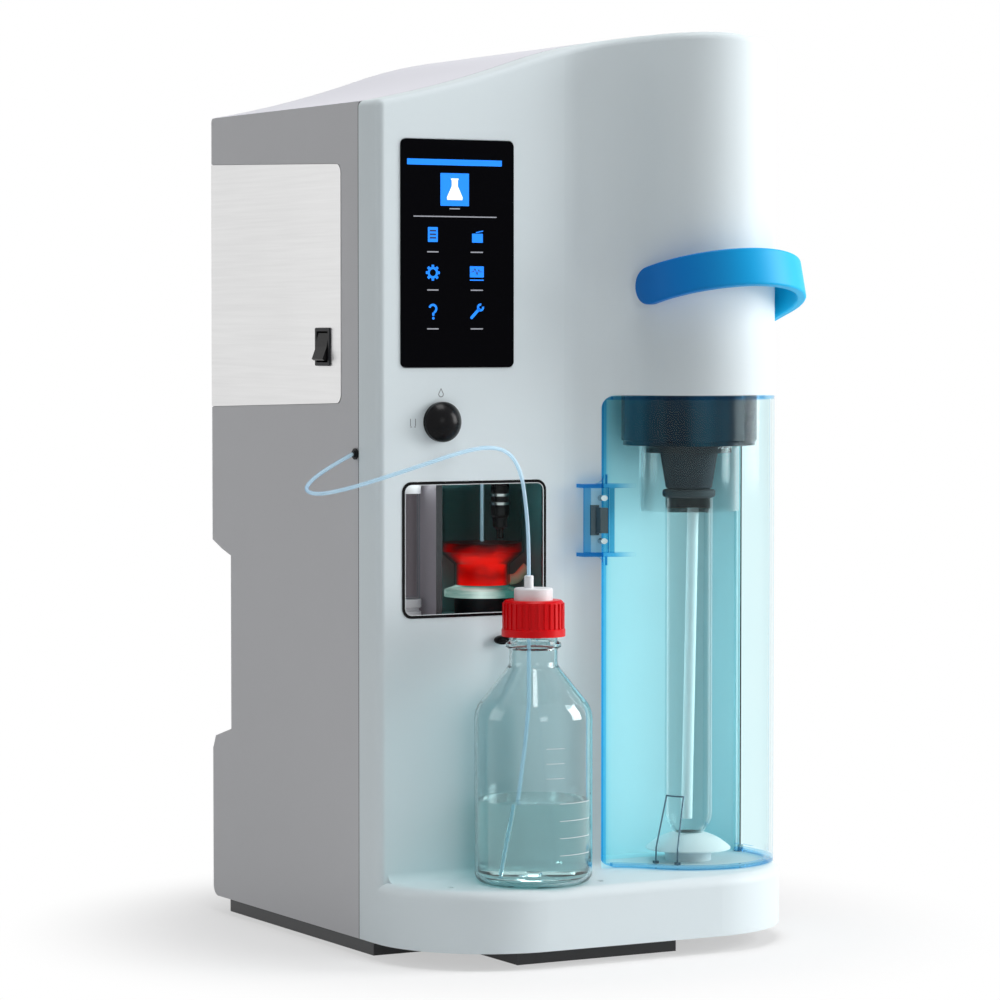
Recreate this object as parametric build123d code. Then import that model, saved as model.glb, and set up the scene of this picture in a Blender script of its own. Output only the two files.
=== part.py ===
from build123d import *
import os
from math import asin, atan2, cos, degrees, radians, sin, sqrt, tan

os.makedirs("parts", exist_ok=True)

# Automatic steam distillation and titration unit for the bench.
# X runs across the front, -Y faces the operator, Z points up, and the origin lies on the bench
# in the middle of the width, under the axis of the round column.

# Overall body
width = 385.0
half = width / 2
seam_y = 31.0
back_y = 328.0
skin_z = 14.5
wall = 3.0
seam_gap = 1.0
plate_gap = 0.6
rest_gap = 0.3

# Front moulding
face_y = -5.0
corner_r = 6.5
column_r = 75.0
column_x = half - column_r
cove_r = 80.0
lip_r = 6.0
foot_r = 8.0
cove_cy = face_y - cove_r
cove_x = column_x - sqrt((column_r + cove_r) ** 2 - cove_cy ** 2)

# Crown line of the top, seen from the front
top_left_z = 726.5
rise_x = -half + 147.5
rise_z = 765.0
crest_x = column_x - 15.5
crest_z = 789.5
top_right_z = 775.0
above_z = max(top_left_z, rise_z, crest_z, top_right_z) + 10

# Platform for bottle and chamber
platform_r = 106.5
platform_z = 66.0
platform_lip = 9.0
platform_x = half - platform_r

# Chamber behind the door
chamber_x = column_x - 96.5
chamber_top = 477.0
ceiling_t = 4.0
chamber_back_y = 56.0
liner_t = 2.5
liner_turn_x = half - 24.5
liner_end_x = half - 5.2
liner_end_y = 35.4

# Side and back panels
panel_t = 2.5
left_top_z = top_left_z - 0.1
recess_y = 288.5
recess_high = (342.0, 329.0)
recess_low = (171.0, 150.0)
back_corner_r = 10.0
back_flange_y = 262.0
flange_w = 18.0
vent_w = 3.5
vent_z = (620.0, 680.0)
vent_x = [-half + 92.5 + 9.0 * i for i in range(16)]
inlet_w = 28.0
inlet_h = 48.0
inlet_x = -half + 72.5
inlet_z = 240.0
port_r = 5.0
port_z = 215.0
port_x = [half - 232.5 + 40.0 * i for i in range(5)]

# Plinth
plinth_side = half - 10.5
plinth_y = (25.0, 314.0)
tongue_x = (-half + 93.5, half - 135.5)
tongue_y = -78.0
plinth_t = 2.5
floor_t = 2.5
shelf_z = (281.0, 283.9)
shelf_back = 262.0
post_w = 14.0
shelf_post_x = (-half + 12.5, chamber_x - 25.0)

# Touch panel
display_w = 108.3
display_h = 192.5
display_t = 3.0
display_x = -half + 75.7
display_z = 598.0
display_r = 5.0
display_proud = 1.2

# Selector knob
knob_x = -half + 59.8
knob_z = 455.6
knob_r = 17.0
knob_h = 15.0
knob_shaft_r = 4.0

# Window of the titration bay
window_w = 139.8
window_h = 116.0
window_x = -half + 92.4
window_z = 347.2
window_r = 9.0
window_rim = 2.6
pane_t = 3.0
bay_depth = 100.0
bay_wall = 2.0
divider_x = window_x - 31.9
divider_w = 6.0
bay_low = window_z - window_h / 2 - 3
bay_high = window_z + window_h / 2 + 3
vessel_x = window_x + 37.1
vessel_y = 50.0
vessel_top_r = 37.0
vessel_low_r = 24.3
vessel_foot_r = 33.0
vessel_base_z = 302.0
vessel_neck_z = (330.0, 341.0)
vessel_top_z = 395.0
titrate_z = 349.0
glass_t = 1.8
burette_x = window_x - 49.9
burette_y = 26.0
burette_r = 12.0

# Drain toggle under the window and the sockets in the platform
toggle_x = -half + 117.0
toggle_z = 268.5
toggle_stem_r = 2.5
socket_r = 3.0
socket_depth = 1.2
socket_at = ((-half + 43.5, -52.0), (-half + 173.0, -80.0))

# Bottle
bottle_x = -half + 121.0
bottle_y = face_y - 51.3
bottle_r = 50.0
bottle_wall = 2.4
shoulder_z = 203.0
neck_z = 258.0
neck_r = 22.5
lip_z = 300.0
liquid_z = 137.0
cap_r = 26.0
cap_z = (275.0, 305.5)
cap_ribs = 30
insert_r = 16.4
insert_top = 315.7
fitting_r = 4.0
fitting_top = 326.4
fitting_dx = -4.5

# Titrant tube and the gland it leaves the side through
tube_r = 1.6
gland_r = 3.0
gland_y = 36.3
gland_z = 428.2
tube_route = [
    (-half - 3.0, gland_y, gland_z),
    (-211.0, 37.5, 420.5),
    (-233.0, 36.0, 408.5),
    (-248.5, 22.5, 399.0),
    (-246.0, 2.0, 395.5),
    (-227.0, -17.0, 401.0),
    (-201.0, -36.0, 411.0),
    (-172.0, -50.0, 421.5),
    (-142.0, -57.5, 431.5),
    (-117.0, -60.0, 436.0),
    (-96.5, -59.5, 431.5),
    (-84.5, -58.5, 413.5),
    (-80.0, -57.5, 390.0),
    (bottle_x + fitting_dx, bottle_y, 358.0),
    (bottle_x + fitting_dx, bottle_y, fitting_top),
]

# Distillation head and test tube
head_r = 59.5
head_z = (436.0, 476.7)
skirt_r = 44.0
skirt_z = (375.0, 432.4)
flange_r = 37.5
flange_z = (426.0, 432.4)
stopper_r = (25.5, 20.3)
stopper_z = 395.0
plug_r = 18.6
plug_z = 378.0
ring_r = (23.3, 19.0)
ring_z = (386.6, 393.6)
test_tube_r = 21.0
test_tube_z = (86.3, 386.3)
test_tube_wall = 2.0
steam_tube_r = 5.0
seat_r = 37.5
seat_z = (76.0, 90.4)
seat_drop = 7.0
stem_r = 5.0
pedestal_r = 20.5
pedestal_top = 75.7
clip_foot_r = 40.5
clip_z = 124.0
clip_r = 0.7

# Door
door_t = 4.0
door_gap = 1.0
door_z = (66.8, 476.2)
door_corner = 10.0
door_back = 27.0
hinge_x = half - 6.0
hinge_y = 22.0
hinge_pin_r = 2.5
lug_t = 6.0
lug_r = 6.0
lip_t = 3.0
lip_w = 4.0
latch_x = (chamber_x - 15.5, chamber_x + 4.0)
latch_z = (341.2, 397.4)
latch_depth = 12.0
latch_wall = 2.5
latch_gap = 0.8
latch_rib = 3.3
latch_reach = 6.3
latch_tail = 20.0
latch_cove = 8.0
magnet_x = (chamber_x - 5.5, chamber_x + 0.5)
magnet_z = (358.0, 380.0)
catch_t = 1.4
catch_proud = 0.4
catch_x = (chamber_x - 9.0, chamber_x - 2.0)
catch_z = (356.0, 382.0)

# Lever
lever_x = column_x + 4.0
lever_v = -30.0
lever_r = 82.0
lever_t = 8.0
lever_h = 33.0
lever_slope = 0.302
lever_plane_z = 556.2
pivot_y = 20.0
lever_tip_v = -37.5
lever_pin_r = 6.0
lever_edge = 2.0
cam_x = half - 42.5
pivot_z = lever_plane_z - lever_slope * pivot_y
lever_tilt = degrees(atan2(lever_slope, 1))
pivot_v = pivot_y / cos(radians(lever_tilt))

# Steel cover plate with the mains switch
plate_y = 64.2
plate_front = (471.0, 675.0)
plate_back = (464.0, 684.0)
plate_t = 1.4
plate_proud = 0.4
switch_y = 97.0
switch_z = 519.0
bezel_w = 27.6
bezel_h = 32.8
plate_corner = 8.0

# Boiler and condenser inside the housing
boiler_x = half - 92.5
boiler_y = 180.0
boiler_r = 62.0
boiler_end_r = 20.0
boiler_t = 2.0
condenser_x = chamber_x - 31.0
condenser_y = 190.0
condenser_r = 32.0
condenser_z = (400.0, 690.0)
condenser_neck_r = 14.0
bridge_r = 7.0
bridge_z = (640.0, 718.0)

# Pumps on the shelf and power supply on the floor plate
pump_x = -half + 42.5
pump_y = (130.0, 178.0, 226.0)
pump_w = 42.0
pump_h = 46.0
pump_l = 25.0
motor_r = 17.0
motor_l = 45.0
rotor_r = 14.0
rotor_t = 4.0
supply_x = (-half + 22.5, -half + 132.5)
supply_y = (120.0, 240.0)
supply_h = 60.0
supply_slots = 10


def save(name, shape):
    """Write one sub-part under its node name."""
    export_step(shape, f"parts/{name}.step")


def on_circle(cx, cy, radius, angle):
    """Point on a circle at an angle in degrees."""
    return (cx + radius * cos(radians(angle)), cy + radius * sin(radians(angle)))


def arc_on(cx, cy, radius, start, end):
    """Arc of a circle between two angles in degrees."""
    ends = [on_circle(cx, cy, radius, angle) for angle in (start, (start + end) / 2, end)]
    return ThreePointArc(*ends)


def upper_plan(inset, back):
    """Plan of the front moulding above the platform, offset inward by inset."""
    left = -half + inset
    front = face_y + inset
    corner = max(corner_r - inset, 0.6)
    meet = degrees(atan2(-cove_cy, column_x - cove_x))
    right = column_x + column_r - inset
    outline = [
        Line((left, back), (left, front + corner)),
        arc_on(left + corner, front + corner, corner, 180, 270),
        Line((left + corner, front), (cove_x, front)),
        arc_on(cove_x, cove_cy, cove_r + inset, 90, meet),
        arc_on(column_x, 0, column_r - inset, meet + 180, 360),
        Line((right, 0), (right, back)),
        Line((right, back), (left, back)),
    ]
    return make_face(outline)


def platform_plan(inset, back):
    """Plan of the platform, offset inward by inset."""
    edge = half - inset
    radius = platform_r - inset
    outline = [
        Line((-edge, back), (-edge, 0)),
        arc_on(-platform_x, 0, radius, 180, 270),
        Line((-platform_x, -radius), (platform_x, -radius)),
        arc_on(platform_x, 0, radius, 270, 360),
        Line((edge, 0), (edge, back)),
        Line((edge, back), (-edge, back)),
    ]
    return make_face(outline)


def under_top(drop, y_front, y_back):
    """Everything below the crown line lowered by drop, between two depths."""
    start = (-half, top_left_z - drop)
    rise = (rise_x, rise_z - drop)
    crest = (crest_x, crest_z - drop)
    end = (half, top_right_z - drop)
    beside = half + 20
    falling = TangentArc(crest, rise, tangent=(-1, 0))
    outline = [
        falling,
        TangentArc(rise, start, tangent=falling % 1),
        TangentArc(crest, end, tangent=(1, 0)),
        Line(start, (-beside, start[1])),
        Line((-beside, start[1]), (-beside, 0)),
        Line((-beside, 0), (beside, 0)),
        Line((beside, 0), (beside, end[1])),
        Line((beside, end[1]), end),
    ]
    return Pos(0, y_back, 0) * extrude(Plane.XZ * make_face(outline), amount=y_back - y_front)


def block(x, y, z):
    """Box between two limits on each axis."""
    size = (x[1] - x[0], y[1] - y[0], z[1] - z[0])
    return Pos(x[0], y[0], z[0]) * Box(*size, align=(Align.MIN, Align.MIN, Align.MIN))


def prism_y(w, h, r, x, z, y0, y1):
    """Rounded rectangle seen from the front, running from depth y0 to y1."""
    return Pos(x, y1, z) * extrude(Plane.XZ * RectangleRounded(w, h, r), amount=y1 - y0)


def prism_x(w, h, r, y, z, x0, x1):
    """Rounded rectangle seen from the side, running from x0 to x1."""
    return Pos(x0, y, z) * extrude(Plane.YZ * RectangleRounded(w, h, r), amount=x1 - x0)


def rod(radius, x, y, z0, z1):
    """Upright cylinder between two heights."""
    return Pos(x, y, z0) * Cylinder(radius, z1 - z0, align=(Align.CENTER, Align.CENTER, Align.MIN))


def rod_y(radius, x, z, y0, y1):
    """Cylinder along Y between two depths."""
    return Pos(x, y1, z) * extrude(Plane.XZ * Circle(radius), amount=y1 - y0)


def rod_x(radius, y, z, x0, x1):
    """Cylinder along X between two places."""
    return Pos(x0, y, z) * extrude(Plane.YZ * Circle(radius), amount=x1 - x0)


def turned(x, y, *profile):
    """Solid of revolution about an upright axis from radius and height pairs."""
    return Pos(x, y, 0) * revolve(Plane.XZ * make_face(Polyline(*profile, close=True)), Axis.Z)


def turned_outline(x, y, edges):
    """Solid of revolution about an upright axis from joined edges."""
    return Pos(x, y, 0) * revolve(Plane.XZ * make_face(edges), Axis.Z)


def pipe(radius, bends, *points):
    """Round bar along straight runs joined by tangent arcs."""
    path = FilletPolyline(*points, radius=bends)
    start = Plane(origin=path @ 0, z_dir=path % 0)
    return sweep(start * Circle(radius), path=path)


def straight(radius, start, end):
    """Round bar between two points."""
    run = Line(start, end)
    return extrude(Plane(origin=start, z_dir=run % 0) * Circle(radius), amount=run.length)


def fused(*shapes):
    """One solid from several that meet."""
    result = shapes[0]
    for shape in shapes[1:]:
        result = result + shape
    return result


def group(*shapes):
    """Separate solids kept in one node."""
    solids = [solid for shape in shapes for solid in shape.solids()]
    return Compound(children=solids)


def crown_edges(shape):
    """Outer edges of the crown, without the seam and the joints between its arcs."""
    chosen = []
    for edge in shape.edges():
        box = edge.bounding_box()
        high = box.min.Z > left_top_z - 5
        on_seam = box.min.Y > seam_y - 0.01
        inside_joint = box.max.X - box.min.X < 0.01 and abs(box.min.X) < half - 0.1
        if high and not on_seam and not inside_joint:
            chosen.append(edge)
    return chosen


def front_block():
    """Solid outer form of the front above the platform, with its rounded crown."""
    upper = extrude(Pos(0, 0, skin_z) * upper_plan(0, seam_y), amount=above_z - skin_z)
    upper = upper & under_top(0, -2 * column_r, seam_y)
    return fillet(crown_edges(upper), lip_r)


def front_cover():
    """Moulded front with flat face, coved column, platform and the chamber's side wall."""
    upper = front_block()
    lower = extrude(Pos(0, 0, skin_z) * platform_plan(0, seam_y), amount=platform_z - skin_z)
    rim = [e for e in lower.edges() if e.bounding_box().min.Z > platform_z - 0.01
           and e.bounding_box().min.Y < -1]
    lower = fillet(rim, platform_lip)
    outer = upper + lower + foot_cove()
    hollow = extrude(upper_plan(wall, seam_y + 1), amount=above_z)
    hollow = hollow & under_top(wall, -2 * column_r, seam_y + 1)
    kept = block((chamber_x - wall, half), (-2 * column_r, seam_y + 2),
                 (platform_z - wall, chamber_top + ceiling_t))
    under = extrude(platform_plan(wall, seam_y + 1), amount=platform_z - wall)
    rim = [e for e in under.edges() if e.bounding_box().min.Z > platform_z - wall - 0.01
           and e.bounding_box().min.Y < -1]
    under = fillet(rim, platform_lip - wall)
    chamber = block((chamber_x, half + 1), (-2 * column_r, seam_y + 1), (platform_z, chamber_top))
    round_corner = prism_y(width, 2 * chamber_top, door_corner + door_gap, chamber_x + half, 0,
                           -2 * column_r, seam_y + 1)
    shell = outer - (hollow - kept) - under - (chamber & round_corner)
    return shell - cover_openings()


def foot_cove():
    """Rounded foot where the wall meets the platform."""
    mid = foot_r * (1 - sin(radians(45)))
    corner = (face_y, platform_z)
    profile = make_face([
        Line((face_y, platform_z + foot_r), corner),
        Line(corner, (face_y - foot_r, platform_z)),
        ThreePointArc((face_y - foot_r, platform_z), (face_y - mid, platform_z + mid),
                      (face_y, platform_z + foot_r)),
    ])
    start_x = -half + corner_r
    flat = Pos(start_x, 0, 0) * extrude(Plane.YZ * profile, amount=cove_x - start_x)
    turn = degrees(asin((chamber_x - cove_x) / cove_r))
    axis = Axis((cove_x, cove_cy, 0), (0, 0, -1))
    bend = revolve(Pos(cove_x, 0, 0) * (Plane.YZ * profile), axis, turn)
    inside = extrude(platform_plan(platform_lip, seam_y), amount=platform_z + foot_r)
    return (flat + bend) & inside


def cover_openings():
    """Openings for the touch panel, knob, window, drain toggle, lever shaft and seat stem."""
    pocket = prism_y(display_w + seam_gap, display_h + seam_gap, display_r, display_x, display_z,
                     face_y - 5, face_y - display_proud + display_t)
    behind = prism_y(display_w - 12, display_h - 12, 3, display_x, display_z, face_y - 5, face_y + 9)
    knob = rod_y(knob_shaft_r + rest_gap, knob_x, knob_z, face_y - 1, face_y + wall + 1)
    window = prism_y(window_w, window_h, window_r, window_x, window_z, face_y - 1, face_y + wall + 1)
    toggle = rod_y(toggle_stem_r + rest_gap, toggle_x, toggle_z, face_y - 1, face_y + wall + 1)
    lever = rod_x(lever_pin_r + rest_gap, pivot_y, pivot_z, half - wall - 1, half + 1)
    stem = rod(stem_r + 1, column_x, 0, platform_z - wall - 1, platform_z + 1)
    catch = catch_strip(catch_t - catch_proud + 0.05, -1, rest_gap)
    sockets = [Pos(x, y, platform_z) * Cylinder(socket_r, 2 * socket_depth) for x, y in socket_at]
    return fused(pocket, behind, knob, window, toggle, lever, stem, catch, *sockets)


def seam_gasket():
    """Black gasket that fills the seam between the front and the panels behind it."""
    gap = (seam_y - seam_gap + 0.05, seam_y)
    rim = front_block() & block((-half, half), gap, (skin_z, above_z))
    inner = under_top(panel_t, gap[0] - 1, gap[1] + 1)
    inner = inner & block((-half + panel_t, half - panel_t), (gap[0] - 1, gap[1] + 1), (0, above_z))
    return Pos(0, seam_gap - 0.05, 0) * (rim - inner)


def side_outline(top):
    """Side panel seen from the side, with the stepped recess at the back."""
    front = seam_y + seam_gap
    slope = recess_y + 19.5
    points = [
        (front, skin_z), (front, top), (back_y, top), (back_y, recess_high[0]),
        (slope, recess_high[0] - 7.5), (recess_y, recess_high[1]), (recess_y, recess_low[0]),
        (back_y - 6, recess_low[0] - 9), (back_y, recess_low[1]), (back_y, skin_z),
    ]
    face = make_face(Polyline(*points, close=True))
    foot = [v for v in face.vertices() if v.Y < skin_z + 1 and v.X > front + 1]
    crown = [v for v in face.vertices() if v.Y > top - 1 and v.X > front + 1]
    face = fillet(foot, back_corner_r)
    crown = [v for v in face.vertices() if v.Y > top - 1 and v.X > front + 1]
    return fillet(crown, panel_t + 1.5)


def left_panel():
    """Painted side panel with the pocket and switch hole for the steel plate."""
    sheet = Pos(-half, 0, 0) * extrude(Plane.YZ * side_outline(left_top_z), amount=panel_t)
    pocket = steel_outline(plate_gap, back_y + 1)
    depth = plate_t - plate_proud + 0.1
    sheet = sheet - Pos(-half - 1, 0, 0) * extrude(Plane.YZ * pocket, amount=1 + depth)
    hole = prism_x(bezel_w - 1.6, bezel_h - 1.6, 1, switch_y, switch_z, -half - 1, -half + 4)
    outlet = rod_x(gland_r + rest_gap / 2, gland_y, gland_z, -half - 1, -half + 4)
    return sheet - hole - outlet


def steel_outline(grow, back):
    """Outline of the steel plate, which widens a little towards the back."""
    spread = (plate_back[1] - plate_front[1]) / (back_y - plate_y)
    sink = (plate_back[0] - plate_front[0]) / (back_y - plate_y)
    reach = back - plate_y
    points = [
        (plate_y - grow, plate_front[0] - grow), (plate_y - grow, plate_front[1] + grow),
        (back, plate_front[1] + spread * reach + grow), (back, plate_front[0] + sink * reach - grow),
    ]
    face = make_face(Polyline(*points, close=True))
    return fillet([v for v in face.vertices() if v.X < plate_y + 1], plate_corner)


def steel_plate():
    """Brushed steel cover plate with the switch cut-out."""
    plate = extrude(Plane.YZ * steel_outline(0, back_y), amount=plate_t)
    plate = Pos(-half - plate_proud, 0, 0) * plate
    return plate - prism_x(bezel_w - 1.6, bezel_h - 1.6, 1, switch_y, switch_z, -half - 2, -half + 4)


def right_panel():
    """Plain painted side panel on the column side."""
    top = top_right_z - wall - rest_gap
    return Pos(half - panel_t, 0, 0) * extrude(Plane.YZ * side_outline(top), amount=panel_t)


def back_panel():
    """Stepped back panel with ventilation slots, inlet and hose holes."""
    inner = half - panel_t - rest_gap
    outline = side_outline(above_z + 10)
    solid = Pos(-inner, 0, 0) * extrude(Plane.YZ * outline, amount=2 * inner)
    core = Pos(-inner - 1, 0, 0) * extrude(Plane.YZ * offset(outline, -panel_t), amount=2 * inner + 2)
    skin = (solid - core) & under_top(wall + rest_gap, 0, back_y + 1)
    skin = skin - block((-half, half), (0, back_flange_y), (0, above_z + 20))
    skin = skin - block((-half, half), (0, back_y - flange_w), (0, skin_z + 2 * panel_t))
    vents = [block((x - vent_w / 2, x + vent_w / 2), (back_y - 5, back_y + 1), vent_z) for x in vent_x]
    inlet = prism_y(inlet_w, inlet_h, 3, inlet_x, inlet_z, recess_y - 6, recess_y + 1)
    ports = [rod_y(port_r, x, port_z, recess_y - 6, recess_y + 1) for x in port_x]
    return skin - fused(*vents, inlet, *ports)


def top_cover():
    """Pale top skin that follows the crown line back from the seam."""
    front = seam_y + seam_gap
    side = -half + panel_t + rest_gap
    slab = under_top(0, front, back_y) & block((side, half), (front, back_y), (skin_z, above_z))
    rear = []
    for edge in slab.edges():
        box = edge.bounding_box()
        if box.min.Y > back_y - 0.01 and box.min.Z > top_left_z - 5 and box.max.X - box.min.X > 10:
            rear.append(edge)
    slab = fillet(rear, wall - 0.8)
    return slab - under_top(wall, front - 1, back_y + 1)


def base_tray():
    """Dark plinth pan, T-shaped in plan, open at the top."""
    def plan(inset):
        deck = block((-plinth_side + inset, plinth_side - inset),
                     (plinth_y[0] + inset, plinth_y[1] - inset), (0, skin_z))
        tongue = block((tongue_x[0] + inset, tongue_x[1] - inset),
                       (tongue_y + inset, plinth_y[0] + inset + 1), (0, skin_z))
        return deck + tongue
    pan = plan(0) - Pos(0, 0, plinth_t) * plan(plinth_t)
    return pan


def chassis():
    """Folded floor plate on the plinth with the rear rail and the shelf on its four posts."""
    inner = half - panel_t - rest_gap
    low = skin_z + rest_gap
    floor = block((-inner, inner), (seam_y + 1, back_y - flange_w - rest_gap), (low, low + floor_t))
    shelf = block((-inner + 4, chamber_x - wall - 4), (seam_y + 4, shelf_back), shelf_z)
    posts = [block((x, x + post_w), (y, y + post_w), (low, shelf_z[0])) for x in shelf_post_x
             for y in (seam_y + 8, shelf_back - post_w)]
    return fused(floor, shelf, *posts)


def chamber_back():
    """Moulded back of the chamber with its floor and ceiling returns."""
    front = seam_y + rest_gap
    edge = half - panel_t - rest_gap
    side = chamber_x - wall
    rear = chamber_back_y + liner_t
    outer = Polyline((side, front), (side, rear), (liner_turn_x + 1.2, rear),
                     (edge, liner_end_y + 1.2), (edge, front), close=True)
    inner = Polyline((chamber_x, front - 1), (chamber_x, chamber_back_y),
                     (liner_turn_x, chamber_back_y), (liner_end_x, liner_end_y),
                     (liner_end_x, front - 1), close=True)
    solid = Pos(0, 0, platform_z - wall) * extrude(
        make_face(outer), amount=chamber_top + ceiling_t - platform_z + wall)
    room = Pos(0, 0, platform_z) * extrude(make_face(inner), amount=chamber_top - platform_z)
    return solid - room


def door():
    """Clear door: curved front with a small wing, top and bottom lips, hinge lugs and latch pocket."""
    left = chamber_x + door_gap
    low, high = door_z
    tall = high - low
    shape = extrude(upper_plan(0, seam_y), amount=high) - extrude(upper_plan(door_t, seam_y + 1),
                                                                  amount=high + 1)
    window = Pos(0, door_back, 0) * extrude(
        Plane.XZ * (Pos(left + half, low + tall / 2) * RectangleRounded(width, tall, door_corner)),
        amount=door_back + 2 * column_r)
    room = block((left, half + 1), (-2 * column_r, door_back), (low, high))
    square = block((half - 60, half + 1), (-2 * column_r, door_back), (low, high))
    skin = shape & (window + square) & room
    rings = []
    for z in (low, high - lip_t):
        ring = extrude(upper_plan(door_t - 0.5, seam_y), amount=lip_t)
        ring = ring - extrude(upper_plan(door_t + lip_w, seam_y + 1), amount=lip_t)
        keep = block((left + door_corner, half), (-2 * column_r, hinge_y - 9), (0, lip_t))
        rings.append(Pos(0, 0, z) * (ring & keep))
    lugs = [door_lug(z) for z in (low, high - lug_t)]
    holes = rod(hinge_pin_r + 0.08, hinge_x, hinge_y, 0, high + 10)
    return fused(skin, *rings, *lugs, latch()) - holes


def door_lug(z):
    """Hinge lug with a gusset that ties it to the door's side wall."""
    eye = rod(lug_r, hinge_x, hinge_y, z, z + lug_t)
    gusset = block((hinge_x - 1.5, half), (hinge_y - 20, hinge_y), (z, z + lug_t))
    return eye + gusset


def front_band(outward, inward, x, z, y_front=-2 * column_r):
    """Piece of a sheet that follows the coved front, between two offsets from its surface."""
    sheet = extrude(upper_plan(-outward, seam_y), amount=chamber_top)
    sheet = sheet - extrude(upper_plan(inward, seam_y + 1), amount=chamber_top + 1)
    return sheet & block(x, (y_front, 0), z)


def latch_brace(z_rib, direction):
    """Coved brace that widens the door's edge up to a rib."""
    edge = chamber_x + door_gap
    far = z_rib + direction * latch_cove
    z = (min(z_rib, far), max(z_rib, far))
    plate = front_band(latch_gap + latch_wall, -latch_gap, (edge - latch_cove, edge + 2), z)
    plate = plate - rod_y(latch_cove, edge - latch_cove, far, -2 * column_r, 0)
    return plate + front_band(latch_gap + latch_wall, 1, (edge + 0.2, edge + 2), z)


def latch():
    """Pocket on the door's free edge that holds the magnet, with a rib above and below."""
    x0, x1 = latch_x
    z0, z1 = latch_z
    tie_x = chamber_x + door_gap + 0.2
    shell = front_band(latch_depth, -latch_gap, (x0, x1), latch_z)
    pocket = front_band(latch_depth - latch_wall, -latch_gap + 0.1, (x0 + latch_wall, tie_x), latch_z)
    pieces = [shell - pocket, front_band(latch_depth, 1, (tie_x, x1), latch_z)]
    for low, outer, direction in ((z0 - latch_rib, z0 - latch_rib, -1), (z1, z1 + latch_rib, 1)):
        rib_z = (low, low + latch_rib)
        front = cove_front(x1 + latch_tail) - 1.5
        pieces.append(front_band(latch_depth + 1.5, -latch_gap, (x0 - latch_reach, x1 + latch_tail),
                                 rib_z, front))
        pieces.append(front_band(latch_depth + 1.5, 1, (tie_x, x1 + latch_tail), rib_z, front))
        pieces.append(latch_brace(outer, direction))
    return fused(*pieces)


def cove_front(x):
    """Depth of the coved front at a place across the width."""
    return cove_cy + sqrt(cove_r ** 2 - (x - cove_x) ** 2)


def lever():
    """C-shaped locking lever that wraps the column and turns about its right rear end."""
    circle = Circle(lever_r) - Circle(lever_r - lever_t)
    front = circle & (Pos(0, -lever_r) * Rectangle(2 * lever_r, 2 * lever_r))
    arm_v = pivot_v - lever_v + lever_h / 2
    arm = Pos(lever_r - lever_t / 2, arm_v / 2) * Rectangle(lever_t, arm_v)
    band = extrude(front + arm, amount=lever_h)
    band = Pos(lever_x, lever_v, -lever_h / 2) * band
    reach = 4 * lever_r
    left = prism_x(reach, lever_h, lever_h / 2 - 0.01, lever_tip_v - reach / 2, 0,
                   lever_x - 2 * lever_r, lever_x)
    right = prism_x(reach, lever_h, lever_h / 2 - 0.01, pivot_v + lever_h / 2 - reach / 2, 0,
                    lever_x, lever_x + 2 * lever_r)
    band = band & (left + right)
    rounded = [e for e in band.edges() if e.length > 25]
    band = fillet(rounded, lever_edge)
    return Pos(0, 0, lever_plane_z) * Rot(-lever_tilt, 0, 0) * band


def lever_shaft():
    """Cross shaft of the lever with its collar and the cam that works the tube seat."""
    inner_x = lever_x + lever_r - lever_t
    shaft = rod_x(lever_pin_r, pivot_y, pivot_z, cam_x, inner_x)
    collar = rod_x(lever_pin_r + 4, pivot_y, pivot_z, half + rest_gap, inner_x)
    cam = rod_x(lever_pin_r + 6, pivot_y + 4, pivot_z, cam_x, cam_x + 8)
    return fused(shaft, collar, cam)


def bottle():
    """Lab bottle with rounded heel, conical shoulder, collar and threaded neck."""
    heel = 9.0

    def shell(r, n, low, high, heel_r):
        return [
            Line((0, low), (r - heel_r, low)),
            arc_on(r - heel_r, low + heel_r, heel_r, 270, 360),
            Line((r, low + heel_r), (r, shoulder_z)),
            ThreePointArc((r, shoulder_z), (r * 0.978, shoulder_z + 9), (r * 0.91, shoulder_z + 16)),
            Line((r * 0.91, shoulder_z + 16), (n + 1.5, neck_z - 9)),
            ThreePointArc((n + 1.5, neck_z - 9), (n + 0.3, neck_z - 6.5), (n, neck_z - 3)),
            Line((n, neck_z - 3), (n, high)),
            Line((n, high), (0, high)),
            Line((0, high), (0, low)),
        ]

    outer = turned_outline(bottle_x, bottle_y, shell(bottle_r, neck_r - 2, platform_z, lip_z, heel))
    inner = turned_outline(
        bottle_x, bottle_y,
        shell(bottle_r - bottle_wall, neck_r - 2 - bottle_wall, platform_z + 3, lip_z + 1,
              heel - bottle_wall))
    collar = turned(bottle_x, bottle_y, (neck_r - 3, neck_z + 5), (neck_r + 1, neck_z + 8),
                    (neck_r + 1, neck_z + 11), (neck_r - 3, neck_z + 14))
    threads = [turned(bottle_x, bottle_y, (neck_r - 3, z), (neck_r + 0.1, z + 1), (neck_r + 0.1, z + 2),
                      (neck_r - 3, z + 3)) for z in (281, 288)]
    return fused(outer, collar, *threads) - inner


def bottle_liquid():
    """Titrant that half fills the bottle, round the dip tube."""
    r = bottle_r - bottle_wall
    low = platform_z + 3
    body = turned(bottle_x, bottle_y, (0, low + 0.3), (r - 7, low + 0.3), (r - 2.2, low + 2.6),
                  (r - 0.3, low + 7), (r - 0.3, liquid_z), (0, liquid_z))
    return body - dip_path(tube_r + 0.05)


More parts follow.
